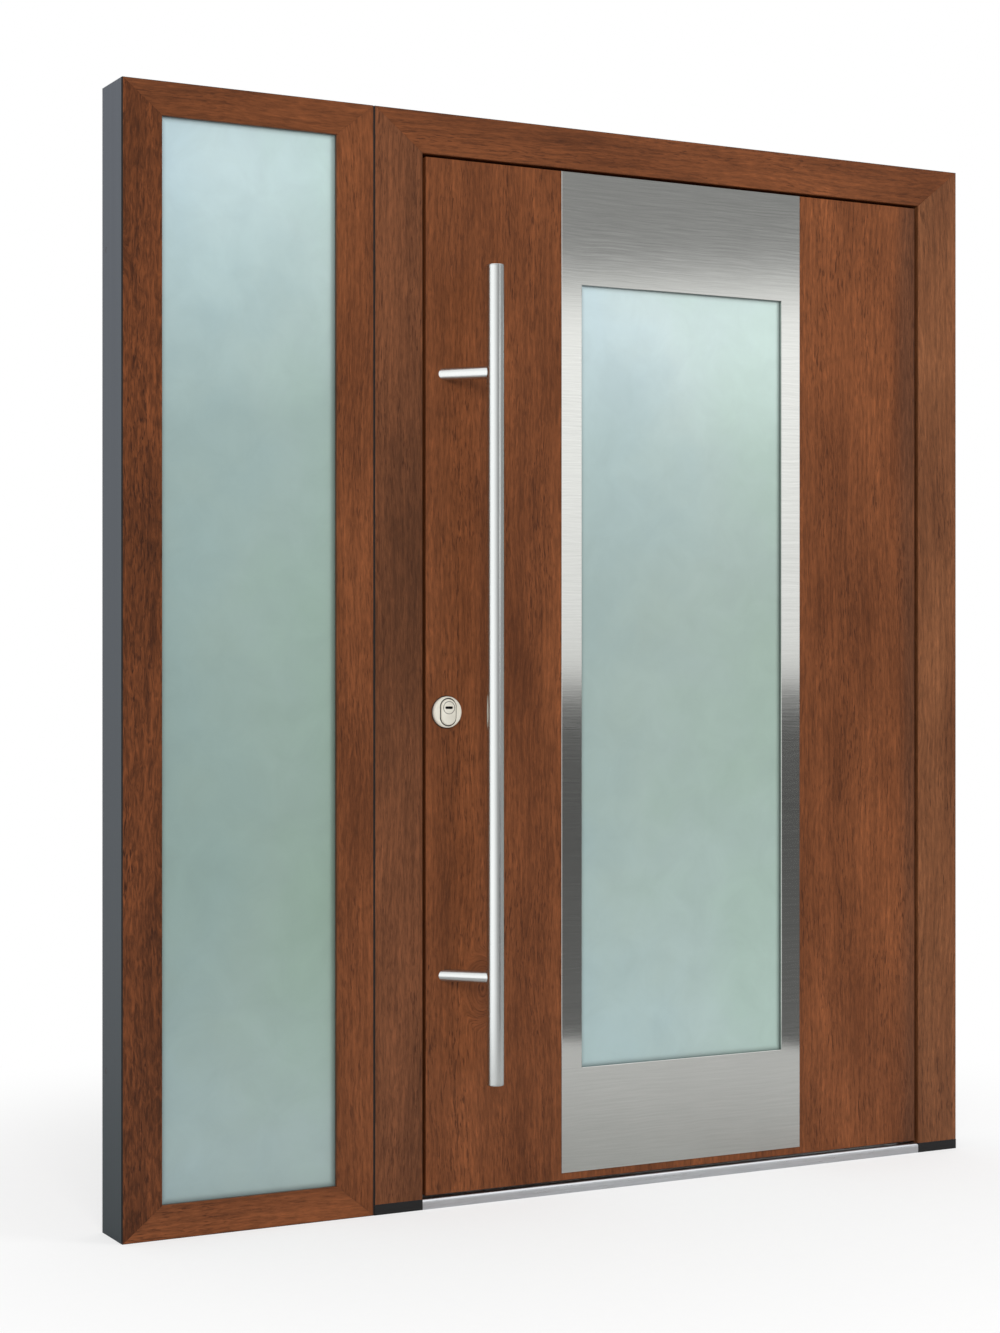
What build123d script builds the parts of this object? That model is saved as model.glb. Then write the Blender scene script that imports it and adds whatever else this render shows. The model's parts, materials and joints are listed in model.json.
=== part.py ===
"""Exterior door with a fixed glazed sidelight, closed, in millimetres.

Z is up and the floor is at zero. The outside face looks along -Y and +X is
to the right as seen from outside. The origin is on the floor, in the middle
of the overall width and of the frame depth.
"""
import os

from build123d import *

# Overall sizes
UNIT_WIDTH = 1880.0
UNIT_HEIGHT = 2100.0
FRAME_DEPTH = 110.0
SIDELIGHT_WIDTH = 499.0
COUPLING_GAP = 2.0
COUPLING_INSET = 1.0

# Frame sections
SIDELIGHT_STILE_FACE = 76.0
SIDELIGHT_RAIL_FACE = 62.5
SIDELIGHT_NOSE_DEPTH = 8.0
SIDELIGHT_STILE_REBATE = 22.0
DOOR_JAMB_FACE = 101.0
DOOR_HEAD_FACE = 80.0
DOOR_NOSE_DEPTH = 34.0
DOOR_JAMB_REBATE = 22.0
PROFILE_EASING = 2.0
SHELL_JOINT_FROM_FRONT = 2.5
SHELL_JOINT_WIDTH = 3.0
SHELL_JOINT_DEPTH = 2.0

# Threshold
THRESHOLD_HEIGHT = 20.0
THRESHOLD_RAIL_DEPTH = 70.0
THRESHOLD_NOSE_RADIUS = 7.0
THRESHOLD_GROOVE_COUNT = 5
THRESHOLD_GROOVE_PITCH = 7.0
THRESHOLD_GROOVE_WIDTH = 2.5
THRESHOLD_GROOVE_DEPTH = 1.2
THRESHOLD_FIRST_GROOVE = 22.0

# Leaf
LEAF_SIDE_GAP = 8.0
LEAF_TOP_GAP = 6.0
LEAF_BOTTOM_GAP = 6.0
LEAF_RECESS = 3.0
LEAF_STEP_GAP = 6.0
LEAF_OVERLAP = 16.0
LEAF_MEMBER_FACE = 110.0
LEAF_EDGE_EASING = 3.0
SHEET_THICKNESS = 3.0
INFILL_RECESS = 25.0
INFILL_BEAD_WIDTH = 22.0
INFILL_BEAD_DEPTH = 24.0
INFILL_BEAD_BEVEL = 12.0

# Steel plate
PLATE_WIDTH = 567.0
PLATE_THICKNESS = 2.0
PLATE_BOTTOM = 40.0

# Glazing
DOOR_GLASS_WIDTH = 476.0
DOOR_GLASS_BOTTOM = 245.0
DOOR_GLASS_TOP_MARGIN = 221.0
GLASS_THICKNESS = 6.0
SPACER_DEPTH = 16.0
SPACER_WIDTH = 9.0
SPACER_INSET = 2.0
GASKET_WIDTH = 10.0
GASKET_DEPTH = 2.5
GLASS_EDGE_COVER = 14.0
GLASS_EDGE_CLEARANCE = 3.0
SIDELIGHT_BEAD_DEPTH = 25.0
SIDELIGHT_BEAD_BEVEL = 10.0
GLASS_TRIM_COVER = 6.0
GLASS_TRIM_FLANGE = 20.0
GLASS_TRIM_LIP = 4.0
GLASS_TRIM_BEVEL = 2.5

# Pull handle
PULL_DIAMETER = 34.0
PULL_BOTTOM = 240.0
PULL_TOP_MARGIN = 209.0
PULL_FROM_LEAF_EDGE = 111.5
PULL_STANDOFF = 74.0
PULL_CAP_THICKNESS = 2.0
PULL_CAP_EASING = 0.8
SUPPORT_DIAMETER = 25.0
SUPPORT_FROM_BAR_END = 205.0
SUPPORT_FOOT_OFFSET = 67.0
SUPPORT_SADDLE_CLEARANCE = 0.2

# Lock
LOCK_Z = 951.0
LOCK_FROM_LEAF_EDGE = 44.0
ROSETTE_DIAMETER = 60.0
ROSETTE_HEIGHT = 8.0
ROSETTE_EASING = 2.5
BOSS_WIDTH = 31.0
BOSS_LENGTH = 50.0
BOSS_HEIGHT = 4.0
BOSS_EASING = 1.5
PLUG_DIAMETER = 17.0
PLUG_RISE = 8.5
PLUG_COVER_DIAMETER = 23.0
PLUG_COVER_THICKNESS = 2.5
CYLINDER_WEB_WIDTH = 10.0
CYLINDER_LENGTH_Z = 33.0
CYLINDER_CLEARANCE = 0.2
CYLINDER_INNER_PROUD = 3.0
KEY_SLOT_WIDTH = 16.0
KEY_SLOT_HEIGHT = 5.0
KEY_SLOT_DEPTH = 6.0

# Inside furniture
ESCUTCHEON_WIDTH = 36.0
ESCUTCHEON_LENGTH = 240.0
ESCUTCHEON_THICKNESS = 9.0
ESCUTCHEON_CORNER_RADIUS = 9.0
ESCUTCHEON_CENTRE_RISE = 40.0
ESCUTCHEON_EASING = 2.0
LEVER_RISE = 92.0
LEVER_NECK_DIAMETER = 19.0
LEVER_STANDOFF = 45.0
LEVER_LENGTH = 135.0
LEVER_END_EASING = 3.0
LEVER_BOSS_DIAMETER = 26.0
LEVER_BOSS_HEIGHT = 6.0

# Lock edge
FACEPLATE_WIDTH = 20.0
FACEPLATE_THICKNESS = 3.0
FACEPLATE_CORNER_RADIUS = 6.5
FACEPLATE_FROM_LEAF_END = 140.0
LOCK_LINE_Y = 20.0
LATCH_PROUD = 5.5
LATCH_WIDTH = 12.0
LATCH_LENGTH = 30.0
LATCH_BEVEL = 4.4
LATCH_BELOW_LOCK = 61.0
BOLT_PROUD = 3.0
BOLT_LENGTH = 40.0
BOLT_BEVEL = 1.5
BOLT_FROM_LEAF_END = 390.0
STRIKE_THICKNESS = 2.0
STRIKE_CORNER_RADIUS = 5.0
STRIKE_WIDTH = 24.0
STRIKE_LENGTH = 120.0
STRIKE_WINDOW_WIDTH = 12.0
STRIKE_WINDOW_LENGTH = 60.0
STRIKE_POCKET_DEPTH = 14.0

# Hinges
HINGE_FROM_LEAF_END = 230.0
HINGE_AXIS_OUT = 3.0
HINGE_AXIS_IN = 15.0
HINGE_BARREL_DIAMETER = 18.0
HINGE_PIN_DIAMETER = 9.0
HINGE_PIN_CLEARANCE = 0.4
HINGE_BARREL_GAP = 1.0
HINGE_MIDDLE_LENGTH = 50.0
HINGE_END_LENGTH = 28.0
HINGE_PAD_THICKNESS = 6.0
HINGE_PAD_WIDTH = 34.0
HINGE_PAD_RADIUS = 6.0
HINGE_PAD_CLEARANCE = 5.5
HINGE_ARM_THICKNESS = 8.0

# Rebate seal
SEAL_DEPTH = 4.5
SEAL_WIDTH = 8.0
SEAL_BEVEL = 3.0

# Wall anchors
ANCHOR_HOLE_DIAMETER = 10.4
ANCHOR_FROM_FRAME_END = 300.0
ANCHOR_FROM_BACK = 23.0

# Planes worked out from the sizes above
LEFT_X = -UNIT_WIDTH / 2
RIGHT_X = UNIT_WIDTH / 2
FRONT_Y = -FRAME_DEPTH / 2
BACK_Y = FRAME_DEPTH / 2
SEAM_X = LEFT_X + SIDELIGHT_WIDTH
SIDELIGHT_RIGHT_X = SEAM_X - COUPLING_GAP / 2
DOOR_LEFT_X = SEAM_X + COUPLING_GAP / 2

OPENING_LEFT_X = DOOR_LEFT_X + DOOR_JAMB_FACE
OPENING_RIGHT_X = RIGHT_X - DOOR_JAMB_FACE
OPENING_TOP_Z = UNIT_HEIGHT - DOOR_HEAD_FACE
NOSE_BACK_Y = FRONT_Y + DOOR_NOSE_DEPTH
REBATE_LEFT_X = OPENING_LEFT_X - DOOR_JAMB_REBATE
REBATE_RIGHT_X = OPENING_RIGHT_X + DOOR_JAMB_REBATE

LEAF_LEFT_X = OPENING_LEFT_X + LEAF_SIDE_GAP
LEAF_RIGHT_X = OPENING_RIGHT_X - LEAF_SIDE_GAP
LEAF_TOP_Z = OPENING_TOP_Z - LEAF_TOP_GAP
LEAF_BOTTOM_Z = THRESHOLD_HEIGHT + LEAF_BOTTOM_GAP
LEAF_MIDDLE_Z = (LEAF_BOTTOM_Z + LEAF_TOP_Z) / 2
LEAF_FRONT_Y = FRONT_Y + LEAF_RECESS
LEAF_BACK_Y = BACK_Y
LEAF_STEP_Y = NOSE_BACK_Y + LEAF_STEP_GAP
LEAF_CENTRE_X = (LEAF_LEFT_X + LEAF_RIGHT_X) / 2
SHEET_BACK_Y = LEAF_FRONT_Y + SHEET_THICKNESS
BROAD_LEFT_X = LEAF_LEFT_X - LEAF_OVERLAP
BROAD_RIGHT_X = LEAF_RIGHT_X + LEAF_OVERLAP
BROAD_TOP_Z = LEAF_TOP_Z + LEAF_OVERLAP
INFILL_BACK_Y = LEAF_BACK_Y - INFILL_RECESS
INFILL_FRONT_OF_SHEET_Y = INFILL_BACK_Y - SHEET_THICKNESS
PLATE_FRONT_Y = LEAF_FRONT_Y - PLATE_THICKNESS

HINGE_X = BROAD_RIGHT_X + HINGE_AXIS_OUT
HINGE_Y = LEAF_BACK_Y + HINGE_AXIS_IN
HINGE_HEIGHTS = (LEAF_BOTTOM_Z + HINGE_FROM_LEAF_END, LEAF_MIDDLE_Z, LEAF_TOP_Z - HINGE_FROM_LEAF_END)
LATCH_Z = LOCK_Z - LATCH_BELOW_LOCK
BOLT_HEIGHTS = (LEAF_BOTTOM_Z + BOLT_FROM_LEAF_END, LATCH_Z, LEAF_TOP_Z - BOLT_FROM_LEAF_END)
ANCHOR_HEIGHTS = (ANCHOR_FROM_FRAME_END, UNIT_HEIGHT - ANCHOR_FROM_FRAME_END)
ANCHOR_Y = BACK_Y - ANCHOR_FROM_BACK
LOCK_X = LEAF_LEFT_X + LOCK_FROM_LEAF_EDGE
PULL_X = LEAF_LEFT_X + PULL_FROM_LEAF_EDGE
PULL_Y = LEAF_FRONT_Y - PULL_STANDOFF
PULL_TOP = LEAF_TOP_Z - PULL_TOP_MARGIN

CORNER = (Align.MIN, Align.MIN)


def box_between(x0, x1, y0, y1, z0, z1):
    """A box given by its two planes on every axis."""
    block = Box(x1 - x0, y1 - y0, z1 - z0)
    return Pos((x0 + x1) / 2, (y0 + y1) / 2, (z0 + z1) / 2) * block


def pressed(sketch, x, z, y0, y1):
    """A sketch drawn looking inwards, centred at x and z, carried from one y plane to another."""
    return Pos(x, y0, z) * extrude(Plane.XZ * sketch, amount=y1 - y0, dir=(0, 1, 0))


def upright(x, y, diameter, z0, z1):
    """A round bar along the z axis."""
    return Pos(x, y, (z0 + z1) / 2) * Cylinder(diameter / 2, z1 - z0)


def front_edges(solid):
    """The edges of a solid that lie nearest the outside."""
    return solid.edges().group_by(Axis.Y)[0]


def grown(outline, sideways, upwards=None):
    """A (left, bottom, right, top) outline moved outward, by one distance or by two."""
    left, bottom, right, top = outline
    upwards = sideways if upwards is None else upwards
    return (left - sideways, bottom - upwards, right + sideways, top + upwards)


def corners(outline):
    """The four corners of an outline, from the lower left, anticlockwise."""
    left, bottom, right, top = outline
    return [(left, bottom), (right, bottom), (right, top), (left, top)]


def ring(outer, inner, y0, y1, bevel=0.0):
    """A rectangular ring between two outlines, bevelled round its inner edge at y1."""
    face = Polygon(*corners(outer), align=None) - Polygon(*corners(inner), align=None)
    body = pressed(face, 0, 0, y0, y1)
    if bevel:
        inside = body.faces().sort_by(Axis.Y)[-1]
        body = chamfer(inside.inner_wires()[0].edges(), bevel)
    return body


def side_run(outline, side, front_y, section):
    """A section carried along one side of an outline.

    The section's x runs inward from the outline and its y from front_y inwards.
    """
    left, bottom, right, top = outline
    start, inward, along, length = {
        "left": ((left, bottom), (1, 0, 0), (0, 0, 1), top - bottom),
        "top": ((left, top), (0, 0, -1), (1, 0, 0), right - left),
        "right": ((right, top), (-1, 0, 0), (0, 0, -1), top - bottom),
        "bottom": ((right, bottom), (0, 0, 1), (-1, 0, 0), right - left),
    }[side]
    place = Plane(origin=(start[0], front_y, start[1]), x_dir=inward, z_dir=along)
    return place * extrude(section, amount=length)


def mitred(member, outer, inner, side):
    """The member cut at both ends from the outer corner to the inner one."""
    first, second = {"bottom": (0, 1), "right": (1, 2), "top": (2, 3), "left": (3, 0)}[side]
    out, into = corners(outer), corners(inner)
    face = Polygon(out[first], out[second], into[second], into[first], align=None)
    return member & pressed(face, 0, 0, FRONT_Y, BACK_Y)


def frame_section(face, nose_depth, rebate):
    """A frame profile: a nose outside, a web behind it, and the joint of the outer shell."""
    web = Rectangle(face - rebate, FRAME_DEPTH, align=CORNER)
    outline = web + Rectangle(face, nose_depth, align=CORNER)
    outline = fillet(outline.vertices().group_by(Axis.Y)[0], PROFILE_EASING)
    joint = Rectangle(SHELL_JOINT_DEPTH, SHELL_JOINT_WIDTH, align=CORNER)
    return outline - Pos(0, SHELL_JOINT_FROM_FRONT) * joint


def anchor_bore(x0, x1, z):
    """A through hole for a wall anchor along the x axis."""
    bar = Rot(0, 90, 0) * Cylinder(ANCHOR_HOLE_DIAMETER / 2, x1 - x0)
    return Pos((x0 + x1) / 2, ANCHOR_Y, z) * bar


# One mitre plane closes nose and web, so rail rebates keep the ratio of the faces
SIDELIGHT_RAIL_REBATE = SIDELIGHT_STILE_REBATE * SIDELIGHT_RAIL_FACE / SIDELIGHT_STILE_FACE
DOOR_HEAD_REBATE = DOOR_JAMB_REBATE * DOOR_HEAD_FACE / DOOR_JAMB_FACE

SIDELIGHT = (LEFT_X, 0.0, SIDELIGHT_RIGHT_X, UNIT_HEIGHT)
SIDELIGHT_VISIBLE = grown(SIDELIGHT, -SIDELIGHT_STILE_FACE, -SIDELIGHT_RAIL_FACE)
SIDELIGHT_POCKET = grown(SIDELIGHT_VISIBLE, SIDELIGHT_STILE_REBATE, SIDELIGHT_RAIL_REBATE)
SIDELIGHT_PANE = grown(SIDELIGHT_VISIBLE, GLASS_EDGE_COVER)
SIDELIGHT_NOSE_Y = FRONT_Y + SIDELIGHT_NOSE_DEPTH
SIDELIGHT_PANE_Y = SIDELIGHT_NOSE_Y + GASKET_DEPTH
SIDELIGHT_SPACER_Y = SIDELIGHT_PANE_Y + GLASS_THICKNESS
SIDELIGHT_INNER_Y = SIDELIGHT_SPACER_Y + SPACER_DEPTH
SIDELIGHT_BEAD_Y = SIDELIGHT_INNER_Y + GLASS_THICKNESS


def sidelight_stile(side):
    """An upright member of the sidelight, mitred at both ends."""
    section = frame_section(SIDELIGHT_STILE_FACE, SIDELIGHT_NOSE_DEPTH, SIDELIGHT_STILE_REBATE)
    return mitred(side_run(SIDELIGHT, side, FRONT_Y, section), SIDELIGHT, SIDELIGHT_VISIBLE, side)


def sidelight_rail(side):
    """A level member of the sidelight, mitred at both ends."""
    section = frame_section(SIDELIGHT_RAIL_FACE, SIDELIGHT_NOSE_DEPTH, SIDELIGHT_RAIL_REBATE)
    return mitred(side_run(SIDELIGHT, side, FRONT_Y, section), SIDELIGHT, SIDELIGHT_VISIBLE, side)


def sidelight_left_stile():
    """The wall-side stile, bored for its two anchors."""
    stile = sidelight_stile("left")
    for z in ANCHOR_HEIGHTS:
        stile -= anchor_bore(LEFT_X, SIDELIGHT_POCKET[0], z)
    return stile


def sidelight_beads():
    """The bevelled beads that hold the glass from inside."""
    back = SIDELIGHT_BEAD_Y + SIDELIGHT_BEAD_DEPTH
    return ring(SIDELIGHT_POCKET, SIDELIGHT_VISIBLE, SIDELIGHT_BEAD_Y, back, SIDELIGHT_BEAD_BEVEL)


def coupling_strip():
    """The thin dark strip between the sidelight and the door frame."""
    return box_between(
        SIDELIGHT_RIGHT_X, DOOR_LEFT_X,
        FRONT_Y + COUPLING_INSET, BACK_Y - COUPLING_INSET, 0.0, UNIT_HEIGHT - COUPLING_INSET,
    )


DOOR_FRAME = (DOOR_LEFT_X, THRESHOLD_HEIGHT, RIGHT_X, UNIT_HEIGHT)
OPENING = (OPENING_LEFT_X, THRESHOLD_HEIGHT, OPENING_RIGHT_X, OPENING_TOP_Z)


def door_jamb(side):
    """An upright of the door frame, mitred at the head and square at the foot."""
    section = frame_section(DOOR_JAMB_FACE, DOOR_NOSE_DEPTH, DOOR_JAMB_REBATE)
    return mitred(side_run(DOOR_FRAME, side, FRONT_Y, section), DOOR_FRAME, OPENING, side)


def door_head():
    """The level member over the door, mitred at both ends."""
    section = frame_section(DOOR_HEAD_FACE, DOOR_NOSE_DEPTH, DOOR_HEAD_REBATE)
    return mitred(side_run(DOOR_FRAME, "top", FRONT_Y, section), DOOR_FRAME, OPENING, "top")


def strike_block(z, thickness, outline):
    """An outline let into the rebate of the lock jamb to this depth."""
    place = Pos(REBATE_LEFT_X - thickness, LOCK_LINE_Y, z)
    return place * extrude(Plane.YZ * outline, amount=thickness, dir=(1, 0, 0))


STRIKE_OUTLINE = RectangleRounded(STRIKE_WIDTH, STRIKE_LENGTH, STRIKE_CORNER_RADIUS)
STRIKE_WINDOW = Rectangle(STRIKE_WINDOW_WIDTH, STRIKE_WINDOW_LENGTH)


def door_left_jamb():
    """The lock-side jamb, housed and pocketed at each bolt."""
    jamb = door_jamb("left")
    for z in BOLT_HEIGHTS:
        jamb -= strike_block(z, STRIKE_THICKNESS, STRIKE_OUTLINE)
        jamb -= strike_block(z, STRIKE_POCKET_DEPTH, STRIKE_WINDOW)
    return jamb


def strike_plates():
    """Flush steel plates, each with a window for a bolt."""
    plates = []
    for z in BOLT_HEIGHTS:
        window = strike_block(z, STRIKE_THICKNESS, STRIKE_WINDOW)
        plates.append(strike_block(z, STRIKE_THICKNESS, STRIKE_OUTLINE) - window)
    return Compound(plates)


def door_right_jamb():
    """The hinge-side jamb, bored for its two wall anchors."""
    jamb = door_jamb("right")
    for z in ANCHOR_HEIGHTS:
        jamb -= anchor_bore(REBATE_RIGHT_X, RIGHT_X, z)
    return jamb


def threshold_rail():
    """The aluminium rail the leaf closes over: a round nose and grip grooves along its top."""
    section = Rectangle(THRESHOLD_RAIL_DEPTH, THRESHOLD_HEIGHT, align=CORNER)
    nose = section.vertices().group_by(Axis.Y)[-1].sort_by(Axis.X)[0]
    section = fillet(nose, THRESHOLD_NOSE_RADIUS)
    for i in range(THRESHOLD_GROOVE_COUNT):
        across = THRESHOLD_FIRST_GROOVE + i * THRESHOLD_GROOVE_PITCH
        groove = Rectangle(THRESHOLD_GROOVE_WIDTH, 2 * THRESHOLD_GROOVE_DEPTH)
        section -= Pos(across, THRESHOLD_HEIGHT) * groove
    place = Plane(origin=(OPENING_LEFT_X, FRONT_Y, 0), x_dir=(0, 1, 0), z_dir=(1, 0, 0))
    return place * extrude(section, amount=OPENING_RIGHT_X - OPENING_LEFT_X)


def threshold_base():
    """The dark insulating bar behind the rail."""
    front = FRONT_Y + THRESHOLD_RAIL_DEPTH
    return box_between(OPENING_LEFT_X, OPENING_RIGHT_X, front, BACK_Y, 0.0, THRESHOLD_HEIGHT)


def threshold_end_blocks():
    """Black blocks under both jambs."""
    return Compound([
        box_between(DOOR_LEFT_X, OPENING_LEFT_X, FRONT_Y, BACK_Y, 0.0, THRESHOLD_HEIGHT),
        box_between(OPENING_RIGHT_X, RIGHT_X, FRONT_Y, BACK_Y, 0.0, THRESHOLD_HEIGHT),
    ])


def frame_seal():
    """A bevelled rubber strip on the back of the nose, round three sides."""
    outer = (OPENING[0] - SEAL_WIDTH, OPENING[1], OPENING[2] + SEAL_WIDTH, OPENING[3] + SEAL_WIDTH)
    strip = Rectangle(SEAL_WIDTH, SEAL_DEPTH, align=CORNER)
    lip = strip.vertices().group_by(Axis.Y)[-1].sort_by(Axis.X)[-1]
    section = chamfer(lip, SEAL_BEVEL)
    seal = Part()
    for side in ("left", "top", "right"):
        seal += mitred(side_run(outer, side, NOSE_BACK_Y, section), outer, OPENING, side)
    return seal


BROAD = (BROAD_LEFT_X, LEAF_BOTTOM_Z, BROAD_RIGHT_X, BROAD_TOP_Z)
INFILL = grown(BROAD, -LEAF_MEMBER_FACE)


def leaf_section(overlap):
    """A leaf profile: broad behind, stepped back at the front by the overlap."""
    step = LEAF_STEP_Y - SHEET_BACK_Y
    broad = Rectangle(LEAF_MEMBER_FACE, LEAF_BACK_Y - LEAF_STEP_Y, align=CORNER)
    narrow = Rectangle(LEAF_MEMBER_FACE - overlap, step, align=CORNER)
    outline = Pos(0, step) * broad + Pos(overlap, 0) * narrow
    edge = outline.vertices().group_by(Axis.Y)[-1].sort_by(Axis.X)[0]
    return fillet(edge, LEAF_EDGE_EASING)


def leaf_stile(side):
    """A full-height member of the leaf, stepped along its edge and at its head."""
    stile = side_run(BROAD, side, SHEET_BACK_Y, leaf_section(LEAF_OVERLAP))
    head = box_between(BROAD_LEFT_X, BROAD_RIGHT_X, SHEET_BACK_Y, LEAF_STEP_Y, LEAF_TOP_Z, BROAD_TOP_Z)
    return stile - head


def leaf_rail(side, overlap):
    """A level member of the leaf between the stiles."""
    between = (INFILL[0], BROAD[1], INFILL[2], BROAD[3])
    return side_run(between, side, SHEET_BACK_Y, leaf_section(overlap))


def cylinder_section(clearance):
    """The section of a profile cylinder: a round plug with a narrow round-ended web below."""
    half = CYLINDER_WEB_WIDTH / 2 + clearance
    foot = PLUG_DIAMETER / 2 - CYLINDER_LENGTH_Z - clearance
    web = Pos(0, foot + half) * Circle(half)
    web += Pos(0, (foot + half) / 2) * Rectangle(2 * half, -foot - half)
    return Circle(PLUG_DIAMETER / 2 + clearance) + web


def cylinder_run(clearance, y0, y1):
    """The profile cylinder, or the hole it needs, between two y planes."""
    return pressed(cylinder_section(clearance), LOCK_X, LOCK_Z + PLUG_RISE, y0, y1)


def lock_faceplate():
    """The long flat steel plate let into the lock edge."""
    length = LEAF_TOP_Z - LEAF_BOTTOM_Z - 2 * FACEPLATE_FROM_LEAF_END
    face = Plane.YZ * RectangleRounded(FACEPLATE_WIDTH, length, FACEPLATE_CORNER_RADIUS)
    plate = extrude(face, amount=FACEPLATE_THICKNESS, dir=(1, 0, 0))
    return Pos(BROAD_LEFT_X, LOCK_LINE_Y, LEAF_MIDDLE_Z) * plate


def leaf_lock_stile():
    """The lock stile with the cylinder's hole and the faceplate's groove."""
    hole = cylinder_run(CYLINDER_CLEARANCE, SHEET_BACK_Y, LEAF_BACK_Y)
    return leaf_stile("left") - hole - lock_faceplate()


def lock_bolts():
    """The bevelled latch and two bolt noses on the faceplate, drawn back."""
    bolts = []
    for z in BOLT_HEIGHTS:
        if z == LATCH_Z:
            proud, length, bevel = LATCH_PROUD, LATCH_LENGTH, LATCH_BEVEL
        else:
            proud, length, bevel = BOLT_PROUD, BOLT_LENGTH, BOLT_BEVEL
        bolt = box_between(
            BROAD_LEFT_X - proud, BROAD_LEFT_X,
            LOCK_LINE_Y - LATCH_WIDTH / 2, LOCK_LINE_Y + LATCH_WIDTH / 2,
            z - length / 2, z + length / 2,
        )
        nose = bolt.edges().filter_by(Axis.Z).group_by(Axis.X)[0].sort_by(Axis.Y)[-1]
        bolts.append(chamfer(nose, bevel))
    return Compound(bolts)


DOOR_VISIBLE = (
    LEAF_CENTRE_X - DOOR_GLASS_WIDTH / 2, DOOR_GLASS_BOTTOM,
    LEAF_CENTRE_X + DOOR_GLASS_WIDTH / 2, LEAF_TOP_Z - DOOR_GLASS_TOP_MARGIN,
)
DOOR_PANE = grown(DOOR_VISIBLE, GLASS_EDGE_COVER)
DOOR_POCKET = grown(DOOR_PANE, GLASS_EDGE_CLEARANCE)
DOOR_PANE_Y = SHEET_BACK_Y + GASKET_DEPTH
DOOR_SPACER_Y = DOOR_PANE_Y + GLASS_THICKNESS
DOOR_INNER_Y = DOOR_SPACER_Y + SPACER_DEPTH
DOOR_TRIM_Y = DOOR_INNER_Y + GLASS_THICKNESS


def leaf_outer_sheet():
    """The outer decor sheet over the whole leaf, cut out for glass and lock."""
    outline = (LEAF_LEFT_X, LEAF_BOTTOM_Z, LEAF_RIGHT_X, LEAF_TOP_Z)
    hole = cylinder_run(CYLINDER_CLEARANCE, LEAF_FRONT_Y, SHEET_BACK_Y)
    return ring(outline, DOOR_VISIBLE, LEAF_FRONT_Y, SHEET_BACK_Y) - hole


def leaf_core():
    """The insulating core, with the pocket for the glass."""
    return ring(INFILL, DOOR_POCKET, SHEET_BACK_Y, INFILL_FRONT_OF_SHEET_Y)


def leaf_inner_sheet():
    """The inner decor sheet on the core."""
    return ring(INFILL, DOOR_POCKET, INFILL_FRONT_OF_SHEET_Y, INFILL_BACK_Y)


def leaf_infill_beads():
    """The bevelled beads in the corner between leaf frame and infill."""
    inner = grown(INFILL, -INFILL_BEAD_WIDTH)
    return ring(INFILL, inner, INFILL_BACK_Y, INFILL_BACK_Y + INFILL_BEAD_DEPTH, INFILL_BEAD_BEVEL)


def steel_plate():
    """The brushed plate on the outside, cut out for the glass."""
    half = PLATE_WIDTH / 2
    outline = (LEAF_CENTRE_X - half, PLATE_BOTTOM, LEAF_CENTRE_X + half, LEAF_TOP_Z)
    return ring(outline, DOOR_VISIBLE, PLATE_FRONT_Y, LEAF_FRONT_Y)


def gasket(visible, y0):
    """A glazing gasket that starts at the edge of the opening."""
    return ring(grown(visible, GASKET_WIDTH), visible, y0, y0 + GASKET_DEPTH)


def pane(outline, y0):
    """One sheet of glass."""
    return box_between(outline[0], outline[2], y0, y0 + GLASS_THICKNESS, outline[1], outline[3])


def spacer(pane_outline, y0):
    """The spacer near the edge between two panes."""
    outer = grown(pane_outline, -SPACER_INSET)
    return ring(outer, grown(outer, -SPACER_WIDTH), y0, y0 + SPACER_DEPTH)


def door_glass_trim():
    """The inside trim ring: a sleeve behind the glass and a bevelled lip on the sheet."""
    opening = grown(DOOR_VISIBLE, -GLASS_TRIM_COVER)
    sleeve = ring(DOOR_PANE, opening, DOOR_TRIM_Y, INFILL_BACK_Y)
    flange = grown(DOOR_POCKET, GLASS_TRIM_FLANGE)
    lip = ring(flange, opening, INFILL_BACK_Y, INFILL_BACK_Y + GLASS_TRIM_LIP)
    rim = lip.faces().sort_by(Axis.Y)[-1].edges()
    return sleeve + chamfer(rim, GLASS_TRIM_BEVEL)


def pull_bar():
    """The long round bar."""
    return upright(
        PULL_X, PULL_Y, PULL_DIAMETER, PULL_BOTTOM + PULL_CAP_THICKNESS, PULL_TOP - PULL_CAP_THICKNESS,
    )


def pull_bar_caps():
    """The flat end caps of the bar, eased at their rims."""
    foot = upright(PULL_X, PULL_Y, PULL_DIAMETER, PULL_BOTTOM, PULL_BOTTOM + PULL_CAP_THICKNESS)
    head = upright(PULL_X, PULL_Y, PULL_DIAMETER, PULL_TOP - PULL_CAP_THICKNESS, PULL_TOP)
    foot_rim = foot.edges().filter_by(GeomType.CIRCLE).sort_by(Axis.Z)[0]
    head_rim = head.edges().filter_by(GeomType.CIRCLE).sort_by(Axis.Z)[-1]
    return Compound([chamfer(foot_rim, PULL_CAP_EASING), chamfer(head_rim, PULL_CAP_EASING)])


def pull_support(z):
    """A support set at an angle, cut flat at the leaf and hollowed to the bar."""
    foot = Vector(PULL_X - SUPPORT_FOOT_OFFSET, LEAF_FRONT_Y, z)
    tip = Vector(PULL_X, PULL_Y, z)
    along = (tip - foot).normalized()
    start = foot - along * SUPPORT_DIAMETER
    face = Plane(origin=start, z_dir=along) * Circle(SUPPORT_DIAMETER / 2)
    rod = extrude(face, amount=(tip - start).length, dir=along)
    wall = box_between(
        LEAF_LEFT_X - SUPPORT_DIAMETER, LEAF_CENTRE_X, LEAF_FRONT_Y, LEAF_BACK_Y,
        z - SUPPORT_DIAMETER, z + SUPPORT_DIAMETER,
    )
    saddle = PULL_DIAMETER + 2 * SUPPORT_SADDLE_CLEARANCE
    return rod - wall - upright(PULL_X, PULL_Y, saddle, z - PULL_DIAMETER, z + PULL_DIAMETER)


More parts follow.
